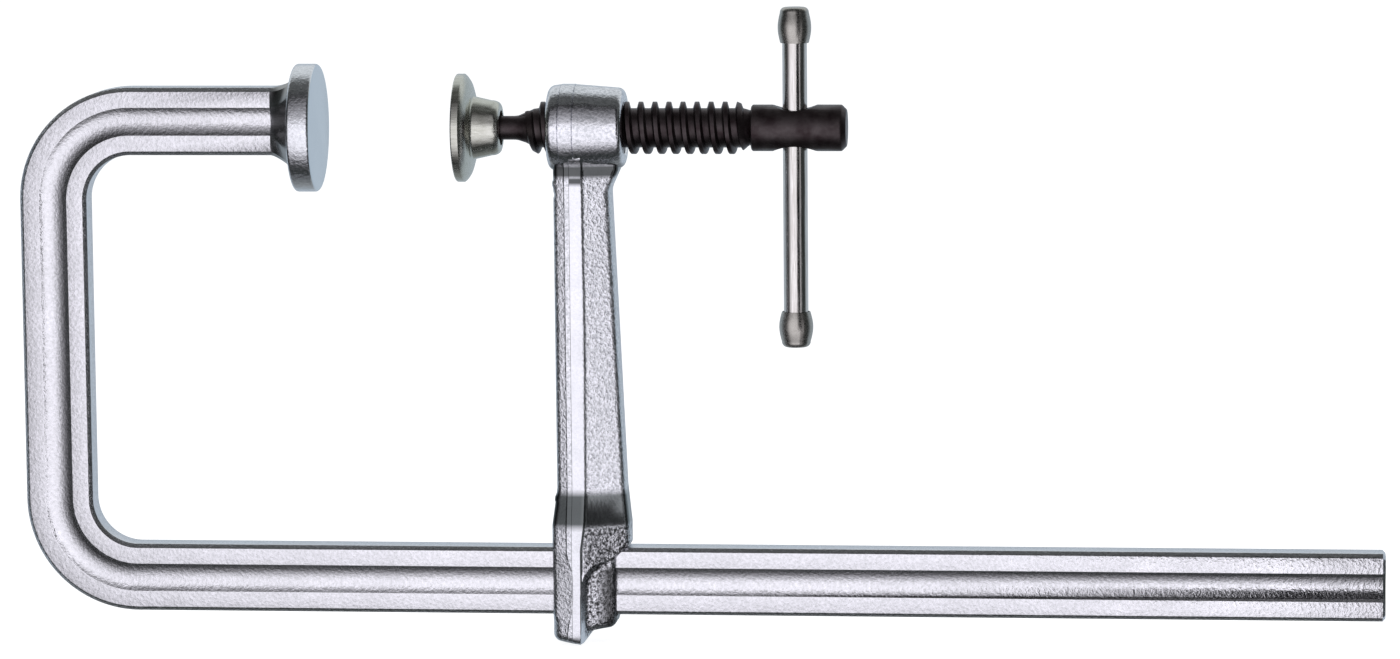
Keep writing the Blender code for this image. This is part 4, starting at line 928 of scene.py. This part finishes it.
def threaded_mesh(name, start_x, end_x, ends, steps, play=0.0, envelope=None):
    """A turned solid with a right-hand trapezoidal ridge between its two plain ends.

    The ends hold (x, radius) points from the axis out to the thread's root. The sheet between
    them has one row of points per step round the helix, and each row ends where the row one
    turn later starts.
    """
    root = THREAD_RADIUS - THREAD_DEPTH + play
    flank = THREAD_DEPTH * math.tan(FLANK_ANGLE)
    crest = CREST_WIDTH + 2 * play * (1 / math.cos(FLANK_ANGLE) - math.tan(FLANK_ANGLE))
    valley = PITCH - crest - 2 * flank
    outside = CREST_ROUNDING_OUTSIDE * CREST_ROUNDING
    within = (1.0 - CREST_ROUNDING_OUTSIDE) * CREST_ROUNDING
    below_crest = 1.0 - CREST_ROUNDING / THREAD_DEPTH
    ridge = [
        (0.0, 0.0),
        (VALLEY_CORNER * valley, 0.0),
        ((1.0 - VALLEY_CORNER) * valley, 0.0),
        (valley, VALLEY_CORNER_LIFT),
        (valley + flank - outside, below_crest),
        (valley + flank + within, 1.0),
        (valley + flank + crest - within, 1.0),
        (valley + flank + crest + outside, below_crest),
    ]
    crest_offset = valley + flank + crest / 2
    crest_x = head_start() - CREST_ON_TOP
    first_step = round((start_x + crest_offset - crest_x) / PITCH * steps)
    last = math.floor((end_x - start_x) / PITCH * steps) - steps
    working = bmesh.new()

    def add_point(step, offset, radius):
        angle = 2 * math.pi * (first_step + step) / steps
        x = crest_x + PITCH * (first_step + step) / steps - crest_offset + offset
        if envelope is not None:
            radius = envelope(x, radius)
        return working.verts.new((x, -radius * math.sin(angle), radius * math.cos(angle)))

    rows = []
    for step in range(last + steps + 1):
        fade = max(0.0, min(1.0, step / RUN_OUT_STEPS, (last - step) / RUN_OUT_STEPS))
        keep = ridge if step <= last else ridge[:1]
        rows.append([add_point(step, offset, root + THREAD_DEPTH * share * fade) for offset, share in keep])
    for step in range(last):
        here = rows[step] + [rows[step + steps][0]]
        there = rows[step + 1] + [rows[step + 1 + steps][0]]
        for index in range(len(ridge)):
            working.faces.new((here[index], there[index], there[index + 1], here[index + 1]))

    def add_end(profile, edge, seam, step):
        first_angle = 2 * math.pi * (first_step + step) / steps
        tip = working.verts.new((profile[0][0], 0.0, 0.0))
        rings = []
        for x, radius in profile[1:]:
            ring = []
            for index in range(steps):
                angle = first_angle + 2 * math.pi * index / steps
                ring.append(working.verts.new((x, -radius * math.sin(angle), radius * math.cos(angle))))
            rings.append(ring)
        for index in range(steps):
            after = (index + 1) % steps
            working.faces.new((tip, rings[0][index], rings[0][after]))
            for inner, outer in zip(rings, rings[1:]):
                working.faces.new((inner[index], inner[after], outer[after], outer[index]))
            corners = [rings[-1][index], rings[-1][after], edge[index + 1], edge[index]]
            working.faces.new(seam[index](corners) if index in seam else corners)

    start_edge = [row[0] for row in rows[:steps + 1]]
    end_edge = [row[0] for row in rows[last:]]
    add_end(ends[0], start_edge, {steps - 1: lambda corners: corners[:2] + rows[0] + corners[2:]}, 0)
    add_end(ends[1], end_edge, {0: lambda corners: corners + rows[last][1:] + [end_edge[-1]]}, last)
    return mesh_from(working, name)


def nut_mesh(left, right):
    """The nut thread's cutter, longer than the boss at both ends."""
    root = THREAD_RADIUS - THREAD_DEPTH + THREAD_PLAY
    ends = ([(left - PITCH, 0.0), (left - PITCH, root)], [(right + PITCH, 0.0), (right + PITCH, root)])
    return threaded_mesh("nut_thread", left, right, ends, NUT_STEPS, THREAD_PLAY)


def flare_radius(x, flare_x):
    """Radius of the concave flare between the ball's neck and the thread's root."""
    root = THREAD_RADIUS - THREAD_DEPTH
    share = min(max((x - flare_x) / FLARE_LENGTH, 0.0), 1.0)
    return BALL_NECK_RADIUS + (root - BALL_NECK_RADIUS) * share ** FLARE_POWER


def spindle_mesh():
    """The screw: ball, neck, flare, thread, relief, and the head with its cross hole and saddles."""
    low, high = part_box("spindle")
    ball_x = low.x + BALL_RADIUS
    flare_x = ball_x + BALL_NECK_LENGTH
    head_x = head_start()
    tommy_x = head_x + CROSS_HOLE_SETBACK
    root = THREAD_RADIUS - THREAD_DEPTH

    def envelope(x, radius):
        relief = RELIEF_RADIUS + max(head_x - RELIEF_WIDTH - x, 0.0) * RELIEF_SLOPE
        if radius > root:
            chamfer = START_CHAMFER_RADIUS + (x - flare_x - START_CHAMFER_SETBACK) * START_CHAMFER_SLOPE
            return min(radius, max(chamfer, flare_radius(x, flare_x)), relief)
        return min(flare_radius(x, flare_x), relief)

    join = math.asin(BALL_NECK_RADIUS / BALL_RADIUS)
    left = [(low.x, 0.0)] + arc((ball_x, 0.0), BALL_RADIUS, math.pi, join, steps=24)[1:]
    for index in range(FLARE_STEPS):
        x = flare_x + SHEET_START * index / FLARE_STEPS
        left.append((x, flare_radius(x, flare_x)))
    right = rounded_outline([
        (high.x, 0.0, 0.0),
        (high.x, HEAD_RADIUS - HEAD_CHAMFER, 0.5 * MM),
        (high.x - HEAD_CHAMFER, HEAD_RADIUS, 0.8 * MM),
        (head_x + HEAD_SHOULDER, HEAD_RADIUS, 0.2 * MM),
        (head_x, HEAD_RADIUS - HEAD_SHOULDER, 0.1 * MM),
        (head_x, RELIEF_RADIUS, 0.0),
    ], steps=4)
    sheet = (flare_x + SHEET_START, head_x - SHEET_END)
    screw = threaded_mesh("screw", *sheet, (left, right), THREAD_STEPS, envelope=envelope)
    half_length = HEAD_RADIUS + HEAD_CUTTER_REACH
    profile = rod_profile(half_length, CROSS_HOLE_RADIUS)
    hole = turned_mesh("hole", profile, THREAD_STEPS, upright_at(tommy_x))
    cuts = [(hole, "DIFFERENCE")]
    half_saddle = CROSS_HOLE_RADIUS + SADDLE_MARGIN
    saddle_radius = (half_saddle ** 2 + SADDLE_DEPTH ** 2) / (2 * SADDLE_DEPTH)
    profile = rod_profile(half_length, saddle_radius)
    for side in (-1, 1):
        place = Matrix.Translation((tommy_x, 0.0, side * (HEAD_RADIUS - SADDLE_DEPTH + saddle_radius)))
        turn = place @ Matrix.Rotation(math.pi / 2, 4, "X")
        cuts.append((turned_mesh("saddle", profile, SADDLE_STEPS, turn), "DIFFERENCE"))
    return combined(screw, cuts)


# Pad, cross bar and knobs

def pad_mesh():
    """The pressure pad: flange with a bulging back, tapered hub and crimped lip, socket and ring chamber."""
    low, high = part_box("pressure_pad")

    def crimped_lip(along, radius, angle):
        """Radius round the rolled lip, with the shallow uneven marks of the crimping rolls."""
        behind = (along - (high.x - CRIMP_LENGTH)) / CRIMP_LENGTH
        if behind <= 0.0 or radius < CRIMP_INNER_RADIUS:
            return radius
        across = (math.cos(angle) * CRIMPS_ROUND, math.sin(angle) * CRIMPS_ROUND)
        mark = noise.noise(Vector((*across, along / CRIMP_SPACING)))
        fade = math.sin(math.pi * min(1.0, behind + CRIMP_SHIFT))
        return radius - CRIMP_DEPTH * max(0.0, mark + CRIMP_SHARE) * fade

    ball = (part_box("spindle")[0].x + BALL_RADIUS, 0.0)
    socket_radius = BALL_RADIUS + TOUCH_GAP
    hub_back = high.x - LIP_LENGTH
    chamber_back = high.x - CHAMBER_SETBACK
    chamber_front = chamber_back - CHAMBER_LENGTH
    profile = [(ball[0] - socket_radius, 0.0)]
    profile += arc(ball, socket_radius, math.pi, math.pi / 2, steps=12)[1:]
    profile += [(chamber_front, socket_radius), (chamber_front, CHAMBER_RADIUS)]
    profile += [(chamber_back, CHAMBER_RADIUS), (chamber_back, PAD_MOUTH_RADIUS)]
    profile.append((high.x, PAD_MOUTH_RADIUS))
    for along, radius in arc((0.0, 0.0), 1.0, 0.0, math.pi / 2, steps=10):
        profile.append((hub_back + LIP_LENGTH * along, LIP_MOUTH_RADIUS + LIP_THICKNESS * radius))
    profile += rounded_outline([(low.x + along, *rest) for along, *rest in HUB_PROFILE], steps=5)
    start_x, start_radius = profile[-1]
    for index in range(1, DISH_STEPS + 1):
        share = index / DISH_STEPS
        bulge = math.sin(math.pi * share)
        x = start_x + DISH_REACH[0] * share + DISH_BULGE[0] * bulge
        profile.append((x, start_radius + DISH_REACH[1] * share + DISH_BULGE[1] * bulge))
    profile.append((low.x + PAD_RIM, PAD_RADIUS))
    rim = (low.x + PAD_RIM_ROUNDING, PAD_RADIUS - PAD_RIM_ROUNDING)
    profile += arc(rim, PAD_RIM_ROUNDING, math.pi / 2, math.pi, steps=5)
    return turned_mesh("pad", profile + [(low.x, 0.0)], PAD_STEPS, AXIS_X, crimped_lip)


def tommy_bar_mesh():
    """The cross bar, turned about its own place."""
    low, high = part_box("tommy_bar")
    profile = [
        (high.z, 0.0),
        (high.z, TOMMY_RADIUS - TOMMY_CHAMFER),
        (high.z - TOMMY_CHAMFER, TOMMY_RADIUS),
        (low.z + TOMMY_CHAMFER, TOMMY_RADIUS),
        (low.z, TOMMY_RADIUS - TOMMY_CHAMFER),
        (low.z, 0.0),
    ]
    return turned_mesh("cross_bar", profile, TOMMY_STEPS, upright_at((low.x + high.x) / 2))


def knob_mesh(node, side):
    """A barrel knob with a small flat end, a full belly and a thin mouth; its side is +1 at the top."""
    low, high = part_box(node)
    end_z = high.z if side > 0 else low.z
    belly = (high.x - low.x) / 2
    bore = TOMMY_RADIUS + TOUCH_GAP
    mouth = KNOB_END_ROUNDING + KNOB_BELLY_LENGTH
    end = (KNOB_END_ROUNDING, KNOB_END_RADIUS)
    profile = [(0.0, 0.0)] + arc(end, KNOB_END_ROUNDING, math.pi, math.pi / 2, steps=8)
    for index in range(1, KNOB_BELLY_STEPS + 1):
        share = index / KNOB_BELLY_STEPS
        chord = KNOB_END_RADIUS + KNOB_END_ROUNDING - KNOB_TAPER * share
        radius = chord + (belly - chord) * math.sin(math.pi * share)
        profile.append((KNOB_END_ROUNDING + KNOB_BELLY_LENGTH * share, radius))
    profile += [(mouth, bore), (KNOB_WALL, bore), (KNOB_WALL, 0.0)]
    placed = [(end_z - side * along, radius) for along, radius in profile]
    return turned_mesh("knob", placed, TOMMY_STEPS, upright_at((low.x + high.x) / 2))


# Surfaces

def new_surface(name, colour, roughness, metallic=1.0):
    """A metal surface with its node tree and its shader."""
    surface = bpy.data.materials.new(name)
    surface.use_nodes = True
    shader = surface.node_tree.nodes["Principled BSDF"]
    shader.inputs["Base Color"].default_value = (*colour, 1.0)
    shader.inputs["Roughness"].default_value = roughness
    shader.inputs["Metallic"].default_value = metallic
    return surface, surface.node_tree, shader


def place_of(tree, stretch=(1.0, 1.0, 1.0)):
    """Object coordinates, stretched along the axes."""
    source = tree.nodes.new("ShaderNodeTexCoord")
    mapping = tree.nodes.new("ShaderNodeMapping")
    mapping.inputs["Scale"].default_value = stretch
    tree.links.new(source.outputs["Object"], mapping.inputs["Vector"])
    return mapping.outputs["Vector"]


def axes_of(tree, place):
    """The three coordinates of a place, one by one."""
    axes = tree.nodes.new("ShaderNodeSeparateXYZ")
    tree.links.new(place, axes.inputs["Vector"])
    return axes.outputs["X"], axes.outputs["Y"], axes.outputs["Z"]


def grain(tree, place, size, detail=2.0, roughness=0.55):
    """Noise with features of one size."""
    texture = tree.nodes.new("ShaderNodeTexNoise")
    texture.inputs["Scale"].default_value = 1.0 / size
    texture.inputs["Detail"].default_value = detail
    texture.inputs["Roughness"].default_value = roughness
    tree.links.new(place, texture.inputs["Vector"])
    return texture.outputs["Fac"]


def ranged(tree, value, low, high, to_low, to_high):
    """A value stretched from one range to another and kept within it."""
    step = tree.nodes.new("ShaderNodeMapRange")
    step.inputs["From Min"].default_value = low
    step.inputs["From Max"].default_value = high
    step.inputs["To Min"].default_value = to_low
    step.inputs["To Max"].default_value = to_high
    tree.links.new(value, step.inputs["Value"])
    return step.outputs["Result"]


def way(tree, value, start, end):
    """How far a value has come from its start to its end, from zero to one."""
    return ranged(tree, value, start, end, 0.0, 1.0)


def faded(tree, share, first, second):
    """A number that goes over into another one with a share from zero to one."""
    return ranged(tree, share, 0.0, 1.0, first, second)


def mixed(tree, share, first, second):
    """Two colours mixed by a share."""
    mix = tree.nodes.new("ShaderNodeMix")
    mix.data_type = "RGBA"
    tree.links.new(share, mix.inputs[0])
    for socket, colour in ((mix.inputs[6], first), (mix.inputs[7], second)):
        if isinstance(colour, tuple):
            socket.default_value = (*colour, 1.0)
        else:
            tree.links.new(colour, socket)
    return mix.outputs[2]


def relief(tree, height, depth, share=None):
    """A normal from a height, with the depth of its relief in metres and where it applies."""
    bump = tree.nodes.new("ShaderNodeBump")
    bump.inputs["Distance"].default_value = depth
    tree.links.new(height, bump.inputs["Height"])
    if share is not None:
        tree.links.new(share, bump.inputs["Strength"])
    return bump.outputs["Normal"]


def reckon(tree, operation, first, second):
    """Arithmetic on two values, each a socket or a number."""
    step = tree.nodes.new("ShaderNodeMath")
    step.operation = operation
    for socket, value in ((step.inputs[0], first), (step.inputs[1], second)):
        if isinstance(value, float):
            socket.default_value = value
        else:
            tree.links.new(value, socket)
    return step.outputs["Value"]


def product(tree, first, *others):
    """Values multiplied one after another."""
    result = first
    for other in others:
        result = reckon(tree, "MULTIPLY", result, other)
    return result


def between(tree, value, low, high, soft):
    """One between two limits and zero outside them, with soft ends."""
    rise = ranged(tree, value, low - soft, low + soft, 0.0, 1.0)
    fall = ranged(tree, value, high - soft, high + soft, 1.0, 0.0)
    return product(tree, rise, fall)


def finish_surface(tree, shader, colour, roughness, normal):
    """Links a surface's colour, roughness and relief to its shader."""
    for name, value in (("Base Color", colour), ("Roughness", roughness), ("Normal", normal)):
        tree.links.new(value, shader.inputs[name])


def blasted(name, smooth_part):
    """Zinc over a blasted surface: grain that scatters the light, and faint clouds in the plating.

    The smooth part is (low x, high x, soft): there the relief fades and the tone changes; on the frame's neck
    the darker tone is painted shade.
    """
    bright, dark, roughness, depth, smooth_tone_and_shade = BLASTED[name]
    surface, tree, shader = new_surface(name, bright, roughness)
    place = place_of(tree)
    fine = grain(tree, place, BLAST_GRAIN, roughness=0.65)
    cloud = grain(tree, place, BLAST_CLOUD, detail=3.0)
    x, _, z = axes_of(tree, place)
    inside = product(tree, between(tree, x, *smooth_part), way(tree, z, *RAIL_FADE_Z))
    colour = mixed(tree, way(tree, fine, *NOISE_WIDE), dark, bright)
    colour = mixed(tree, ranged(tree, cloud, *NOISE_MIDDLE, 0.0, BLAST_CLOUDING), colour, dark)
    # Smooth part: on the anvil the face's own tone; on the frame a darker tone over the neck, painted shade
    # in its concave flare
    colour = mixed(tree, inside, colour, smooth_tone_and_shade)
    smoother, rougher = (roughness + change for change in BLAST_ROUGHNESS)
    uneven = ranged(tree, cloud, *NOISE_WIDE, smoother, rougher)
    share = faded(tree, inside, 1.0, SMOOTH_RELIEF)
    finish_surface(tree, shader, colour, uneven, relief(tree, fine, depth, share))
    return surface


def forged(name):
    """Zinc over the forged arm: grainy faces, a smoother land, boss and shoulder, and a rough dark foot;
    painted shade darkens the shoulder's slopes, the hollow under the boss, the land's top there and a patch
    in the foot's recess.
    """
    surface, tree, shader = new_surface(name, FORGED_BRIGHT, FORGED_ROUGHNESS[1])
    place = place_of(tree)
    x, _, z = axes_of(tree, place)
    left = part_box("sliding_arm")[0].x
    land_right = left + LAND_EDGE_SETBACKS[1]
    slope_foot = RAIL_TOP_Z + SLOPE_FOOT_LIFT
    on_land = between(tree, x, left + STRIP_SETBACK + STRIP_WIDTH, land_right, LAND_FADE)
    on_land = product(tree, on_land, ranged(tree, z, *LAND_START_Z, 1.0, 0.0))
    on_shoulder = between(tree, z, slope_foot, RAIL_TOP_Z + SLOPE_TOP_LIFT, SHOULDER_FADE)
    under_boss = between(tree, z, *HOLLOW_Z, HOLLOW_FADE)
    on_boss = way(tree, z, *BOSS_FOOT_Z)
    past_land = way(tree, x, land_right, land_right + FOOT_FADE)
    on_foot = product(tree, past_land, way(tree, z, slope_foot, slope_foot - FOOT_FADE))
    share = product(
        tree,
        faded(tree, on_land, FACE_RELIEF, LAND_RELIEF),
        faded(tree, on_shoulder, 1.0, SHOULDER_RELIEF),
        faded(tree, on_boss, 1.0, BOSS_RELIEF),
        faded(tree, under_boss, 1.0, HOLLOW_RELIEF),
    )
    share = reckon(tree, "ADD", share, faded(tree, on_foot, 0.0, FOOT_RELIEF))
    fine = grain(tree, place, FORGED_GRAIN, roughness=0.65)
    cloud = grain(tree, place, FORGED_CLOUD, detail=3.0)
    pits = mixed(tree, on_foot, FORGED_PITS, FOOT_PITS)
    colour = mixed(tree, way(tree, fine, *FORGED_PIT_RANGE), pits, FORGED_BRIGHT)
    colour = mixed(tree, faded(tree, on_land, 0.0, LAND_CLEARNESS), colour, FORGED_BRIGHT)
    clouded = ranged(tree, cloud, *FORGED_CLOUD_RANGE, 0.0, FORGED_CLOUDING)
    colour = mixed(tree, clouded, colour, FORGED_CLOUDS)
    # Painted shade: the shoulder's slopes are darkened, less so right of the land
    at_land = way(tree, x, land_right - SLOPE_SHADE_FADE, land_right + SLOPE_SHADE_FADE)
    colour = mixed(tree, on_shoulder, colour, mixed(tree, at_land, SLOPE_SHADE, SLOPE_RIGHT_SHADE))
    # Painted shade: the hollow under the boss and the top of the land below it are darkened
    land_top = product(tree, on_land, way(tree, z, *LAND_SHADE_Z))
    colour = mixed(tree, reckon(tree, "MAXIMUM", under_boss, land_top), colour, HOLLOW_SHADE)
    # Painted shade: a patch in the foot's recess below the rim, darker to the right and downwards
    near, far = (left + setback for setback in SHADE_SETBACKS)
    high, low = (RAIL_TOP_Z - drop for drop in SHADE_DROPS)
    shaded = product(tree, ranged(tree, x, near, far, 0.0, SHADE_SHARE), way(tree, z, high, low))
    colour = mixed(tree, shaded, colour, FOOT_SHADE)
    roughness = ranged(tree, cloud, *NOISE_WIDE, *FORGED_ROUGHNESS)
    roughness = reckon(tree, "SUBTRACT", roughness, faded(tree, on_boss, 0.0, BOSS_GLOSS))
    finish_surface(tree, shader, colour, roughness, relief(tree, fine, FORGED_RELIEF, share))
    return surface


def streaked(name):
    """A turned or drawn surface: streaks along one way, and faint clouds in the plating."""
    bright, dark, roughness, stretch, depth = STREAKED[name]
    surface, tree, shader = new_surface(name, bright, roughness)
    streak = grain(tree, place_of(tree, stretch), STREAK_GRAIN, detail=4.0, roughness=0.6)
    cloud = grain(tree, place_of(tree), STREAK_CLOUD, detail=3.0)
    colour = mixed(tree, way(tree, streak, *NOISE_MIDDLE), dark, bright)
    colour = mixed(tree, ranged(tree, cloud, *NOISE_MIDDLE, 0.0, STREAK_CLOUDING), colour, dark)
    smoother, rougher = (roughness + change for change in STREAK_ROUGHNESS)
    uneven = ranged(tree, streak, *NOISE_WIDE, smoother, rougher)
    finish_surface(tree, shader, colour, uneven, relief(tree, streak, depth))
    return surface


def blackened(name):
    """Blackened steel: brown-black, a little uneven, with fine tool marks."""
    surface, tree, shader = new_surface(name, BLACK_TONES[0], BLACK_ROUGHNESS[0], BLACK_METALLIC)
    fine = grain(tree, place_of(tree), BLACK_GRAIN, detail=3.0)
    cloud = grain(tree, place_of(tree), BLACK_CLOUD, detail=3.0)
    colour = mixed(tree, way(tree, cloud, *NOISE_MIDDLE), *BLACK_TONES)
    roughness = ranged(tree, fine, *NOISE_WIDE, *BLACK_ROUGHNESS)
    finish_surface(tree, shader, colour, roughness, relief(tree, fine, BLACK_RELIEF))
    return surface


# Studio

def add_floor():
    """A plain floor just under the foot: pale to the camera, and left out of reflections."""
    working = bmesh.new()
    bmesh.ops.create_grid(working, x_segments=1, y_segments=1, size=FLOOR_HALF_SIZE)
    data = bpy.data.meshes.new("floor")
    working.to_mesh(data)
    working.free()
    floor = add_object("floor", data)
    floor.location = (0.0, 0.0, CAD_BOX[0].z - FLOOR_DROP)
    surface, tree, shader = new_surface("floor_paint", FLOOR_COLOUR, FLOOR_ROUGHNESS, metallic=0.0)
    shader.inputs["Specular IOR Level"].default_value = 0.0
    path = tree.nodes.new("ShaderNodeLightPath")
    seen = mixed(tree, path.outputs["Is Camera Ray"], BLACK, FLOOR_CAMERA_GLOW)
    tree.links.new(seen, shader.inputs["Emission Color"])
    shader.inputs["Emission Strength"].default_value = 1.0
    data.materials.append(surface)
    floor.visible_glossy = False


def curve(tree, value, points):
    """A value read from a curve through (place, level) points."""
    low, high = points[0][0], points[-1][0]
    top = max(level for place, level in points)
    ramp = tree.nodes.new("ShaderNodeValToRGB")
    knots = ramp.color_ramp.elements
    for index, (place, level) in enumerate(points):
        share = (place - low) / (high - low)
        knot = knots[index] if index < 2 else knots.new(share)
        knot.position = share
        knot.color = (level / top, level / top, level / top, 1.0)
    tree.links.new(way(tree, value, low, high), ramp.inputs["Fac"])
    return product(tree, ramp.outputs["Color"], top)


def add_card():
    """A soft reflector card in front, which only the metal's reflections see."""
    low = Vector((CARD_LOW[0], CARD_Y, CARD_LOW[1]))
    high = Vector((CARD_HIGH[0], CARD_Y, CARD_HIGH[1]))
    corners = [low, (high.x, CARD_Y, low.z), high, (low.x, CARD_Y, high.z)]
    data = bpy.data.meshes.new("card")
    data.from_pydata([tuple(corner) for corner in corners], [], [(0, 1, 2, 3)])
    card = add_object("card", data)
    surface = bpy.data.materials.new("card_glow")
    surface.use_nodes = True
    tree = surface.node_tree
    tree.nodes.clear()
    output = tree.nodes.new("ShaderNodeOutputMaterial")
    glow = tree.nodes.new("ShaderNodeEmission")
    glow.inputs["Color"].default_value = (*CARD_COLOUR, 1.0)
    x, _, z = axes_of(tree, place_of(tree))
    level = product(tree, curve(tree, x, CARD_ACROSS), curve(tree, z, CARD_UP))
    inside = ranged(tree, x, *CARD_EDGE, 1.0, 0.0)
    below = ranged(tree, z, *CARD_EDGE_FOOT, 1.0, 0.0)
    far = ranged(tree, x, *CARD_EDGE_FAR, 0.0, CARD_FAR_SHARE)
    kept = reckon(tree, "MAXIMUM", reckon(tree, "MAXIMUM", inside, below), far)
    tree.links.new(product(tree, level, kept), glow.inputs["Strength"])
    tree.links.new(glow.outputs["Emission"], output.inputs["Surface"])
    data.materials.append(surface)
    card.visible_camera = False
    card.visible_diffuse = False
    card.visible_transmission = False
    card.visible_shadow = False


def add_world():
    """A white room to the camera; metal sees it bright behind the object and dim elsewhere."""
    world = bpy.data.worlds.new("studio")
    bpy.context.scene.world = world
    world.use_nodes = True
    tree = world.node_tree
    background = tree.nodes["Background"]
    path = tree.nodes.new("ShaderNodeLightPath")
    place = tree.nodes.new("ShaderNodeTexCoord")
    _, y, z = axes_of(tree, place.outputs["Generated"])
    wall = mixed(tree, way(tree, z, *ROOM_BACK_FADE), ROOM_BACK, ROOM_BACK_HIGH)
    wall = mixed(tree, way(tree, z, *ROOM_FOOT_FADE), ROOM_FOOT, wall)
    front = mixed(tree, way(tree, z, *ROOM_UP_FADE), ROOM_DIM, ROOM_UP)
    room = mixed(tree, way(tree, y, *ROOM_DEPTH_FADE), front, wall)
    room = mixed(tree, path.outputs["Is Diffuse Ray"], room, ROOM_FILL)
    room = mixed(tree, path.outputs["Is Transmission Ray"], room, WHITE)
    tree.links.new(mixed(tree, path.outputs["Is Camera Ray"], room, WHITE), background.inputs["Color"])
    background.inputs["Strength"].default_value = 1.0


def add_soft_box(name, place, target, size, power):
    """A rectangular soft lamp that faces a target."""
    lamp = bpy.data.lights.new(name, "AREA")
    lamp.shape = "RECTANGLE"
    lamp.size, lamp.size_y = size
    lamp.energy = power
    holder = add_object(name, lamp)
    holder.location = place
    holder.rotation_mode = "QUATERNION"
    holder.rotation_quaternion = (Vector(target) - Vector(place)).to_track_quat("-Z", "Y")
    holder.visible_camera = False
    holder.visible_glossy = False


def add_camera():
    """A long lens, a little above the screw and right of the middle, with a slight roll."""
    lens = bpy.data.cameras.new("camera")
    lens.lens = CAMERA_LENS
    lens.sensor_width = CAMERA_SENSOR
    holder = add_object("camera", lens)
    holder.location = CAMERA_PLACE
    turn = Matrix.Rotation(math.radians(CAMERA_TURN), 4, "Z")
    dip = Matrix.Rotation(math.radians(90.0 - CAMERA_DIP), 4, "X")
    roll = Matrix.Rotation(math.radians(CAMERA_ROLL), 4, "Z")
    holder.rotation_mode = "QUATERNION"
    holder.rotation_quaternion = (turn @ dip @ roll).to_quaternion()
    bpy.context.scene.camera = holder


def main():
    """Builds the surfaces, the pieces and the studio."""
    bpy.context.scene.view_settings.view_transform = "Standard"
    anvil_low, anvil_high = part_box("anvil_disc")
    # The neck's smooth part carries painted shade; the anvil face's smooth part carries its own tone
    neck_start = anvil_low.x - NECK_LENGTH + NECK_SHADE_SETBACK
    neck = (neck_start, anvil_low.x + TENON_LENGTH, NECK_SHADE_FADE)
    face = (anvil_high.x - FACE_TONE_DEPTH, anvil_high.x + FACE_TONE_REACH, FACE_TONE_FADE)
    frame_zinc = blasted("blasted_zinc", neck)
    anvil_zinc = blasted("anvil_zinc", face)
    arm_zinc = forged("forged_zinc")
    pad_zinc = streaked("turned_zinc")
    bar_zinc = streaked("bright_bar")
    knob_zinc = streaked("dull_knob")
    black = blackened("blackened_steel")
    wire = streaked("spring_wire")

    add_piece("frame", frame_mesh(), frame_zinc, "zinc_plated_blasted", "frame", "frame_rail")
    add_piece("anvil", anvil_mesh(), anvil_zinc, "zinc_plated_face", "frame", "anvil_disc")
    add_piece("arm", arm_mesh(), arm_zinc, "zinc_plated_forging", "arm", "sliding_arm")
    add_piece("screw", spindle_mesh(), black, "blackened_steel", "screw", "spindle")
    add_piece("pad", pad_mesh(), pad_zinc, "zinc_plated_turned", "pad", "pressure_pad")
    add_piece("cross_bar", tommy_bar_mesh(), bar_zinc, "bright_plated_bar", "tommy", "tommy_bar")
    for node, side in (("tommy_knob_top", 1), ("tommy_knob_bottom", -1)):
        name = node.replace("tommy", "cross")
        add_piece(name, knob_mesh(node, side), knob_zinc, "dull_plated_knob", "tommy", node)
    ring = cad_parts["pad_retaining_ring"]
    for slot in ring.material_slots:
        slot.material = wire

    add_floor()
    add_world()
    add_camera()
    add_card()
    add_soft_box("front_box", BOX_PLACE, BOX_AIM, BOX_SIZE, BOX_POWER)


main()
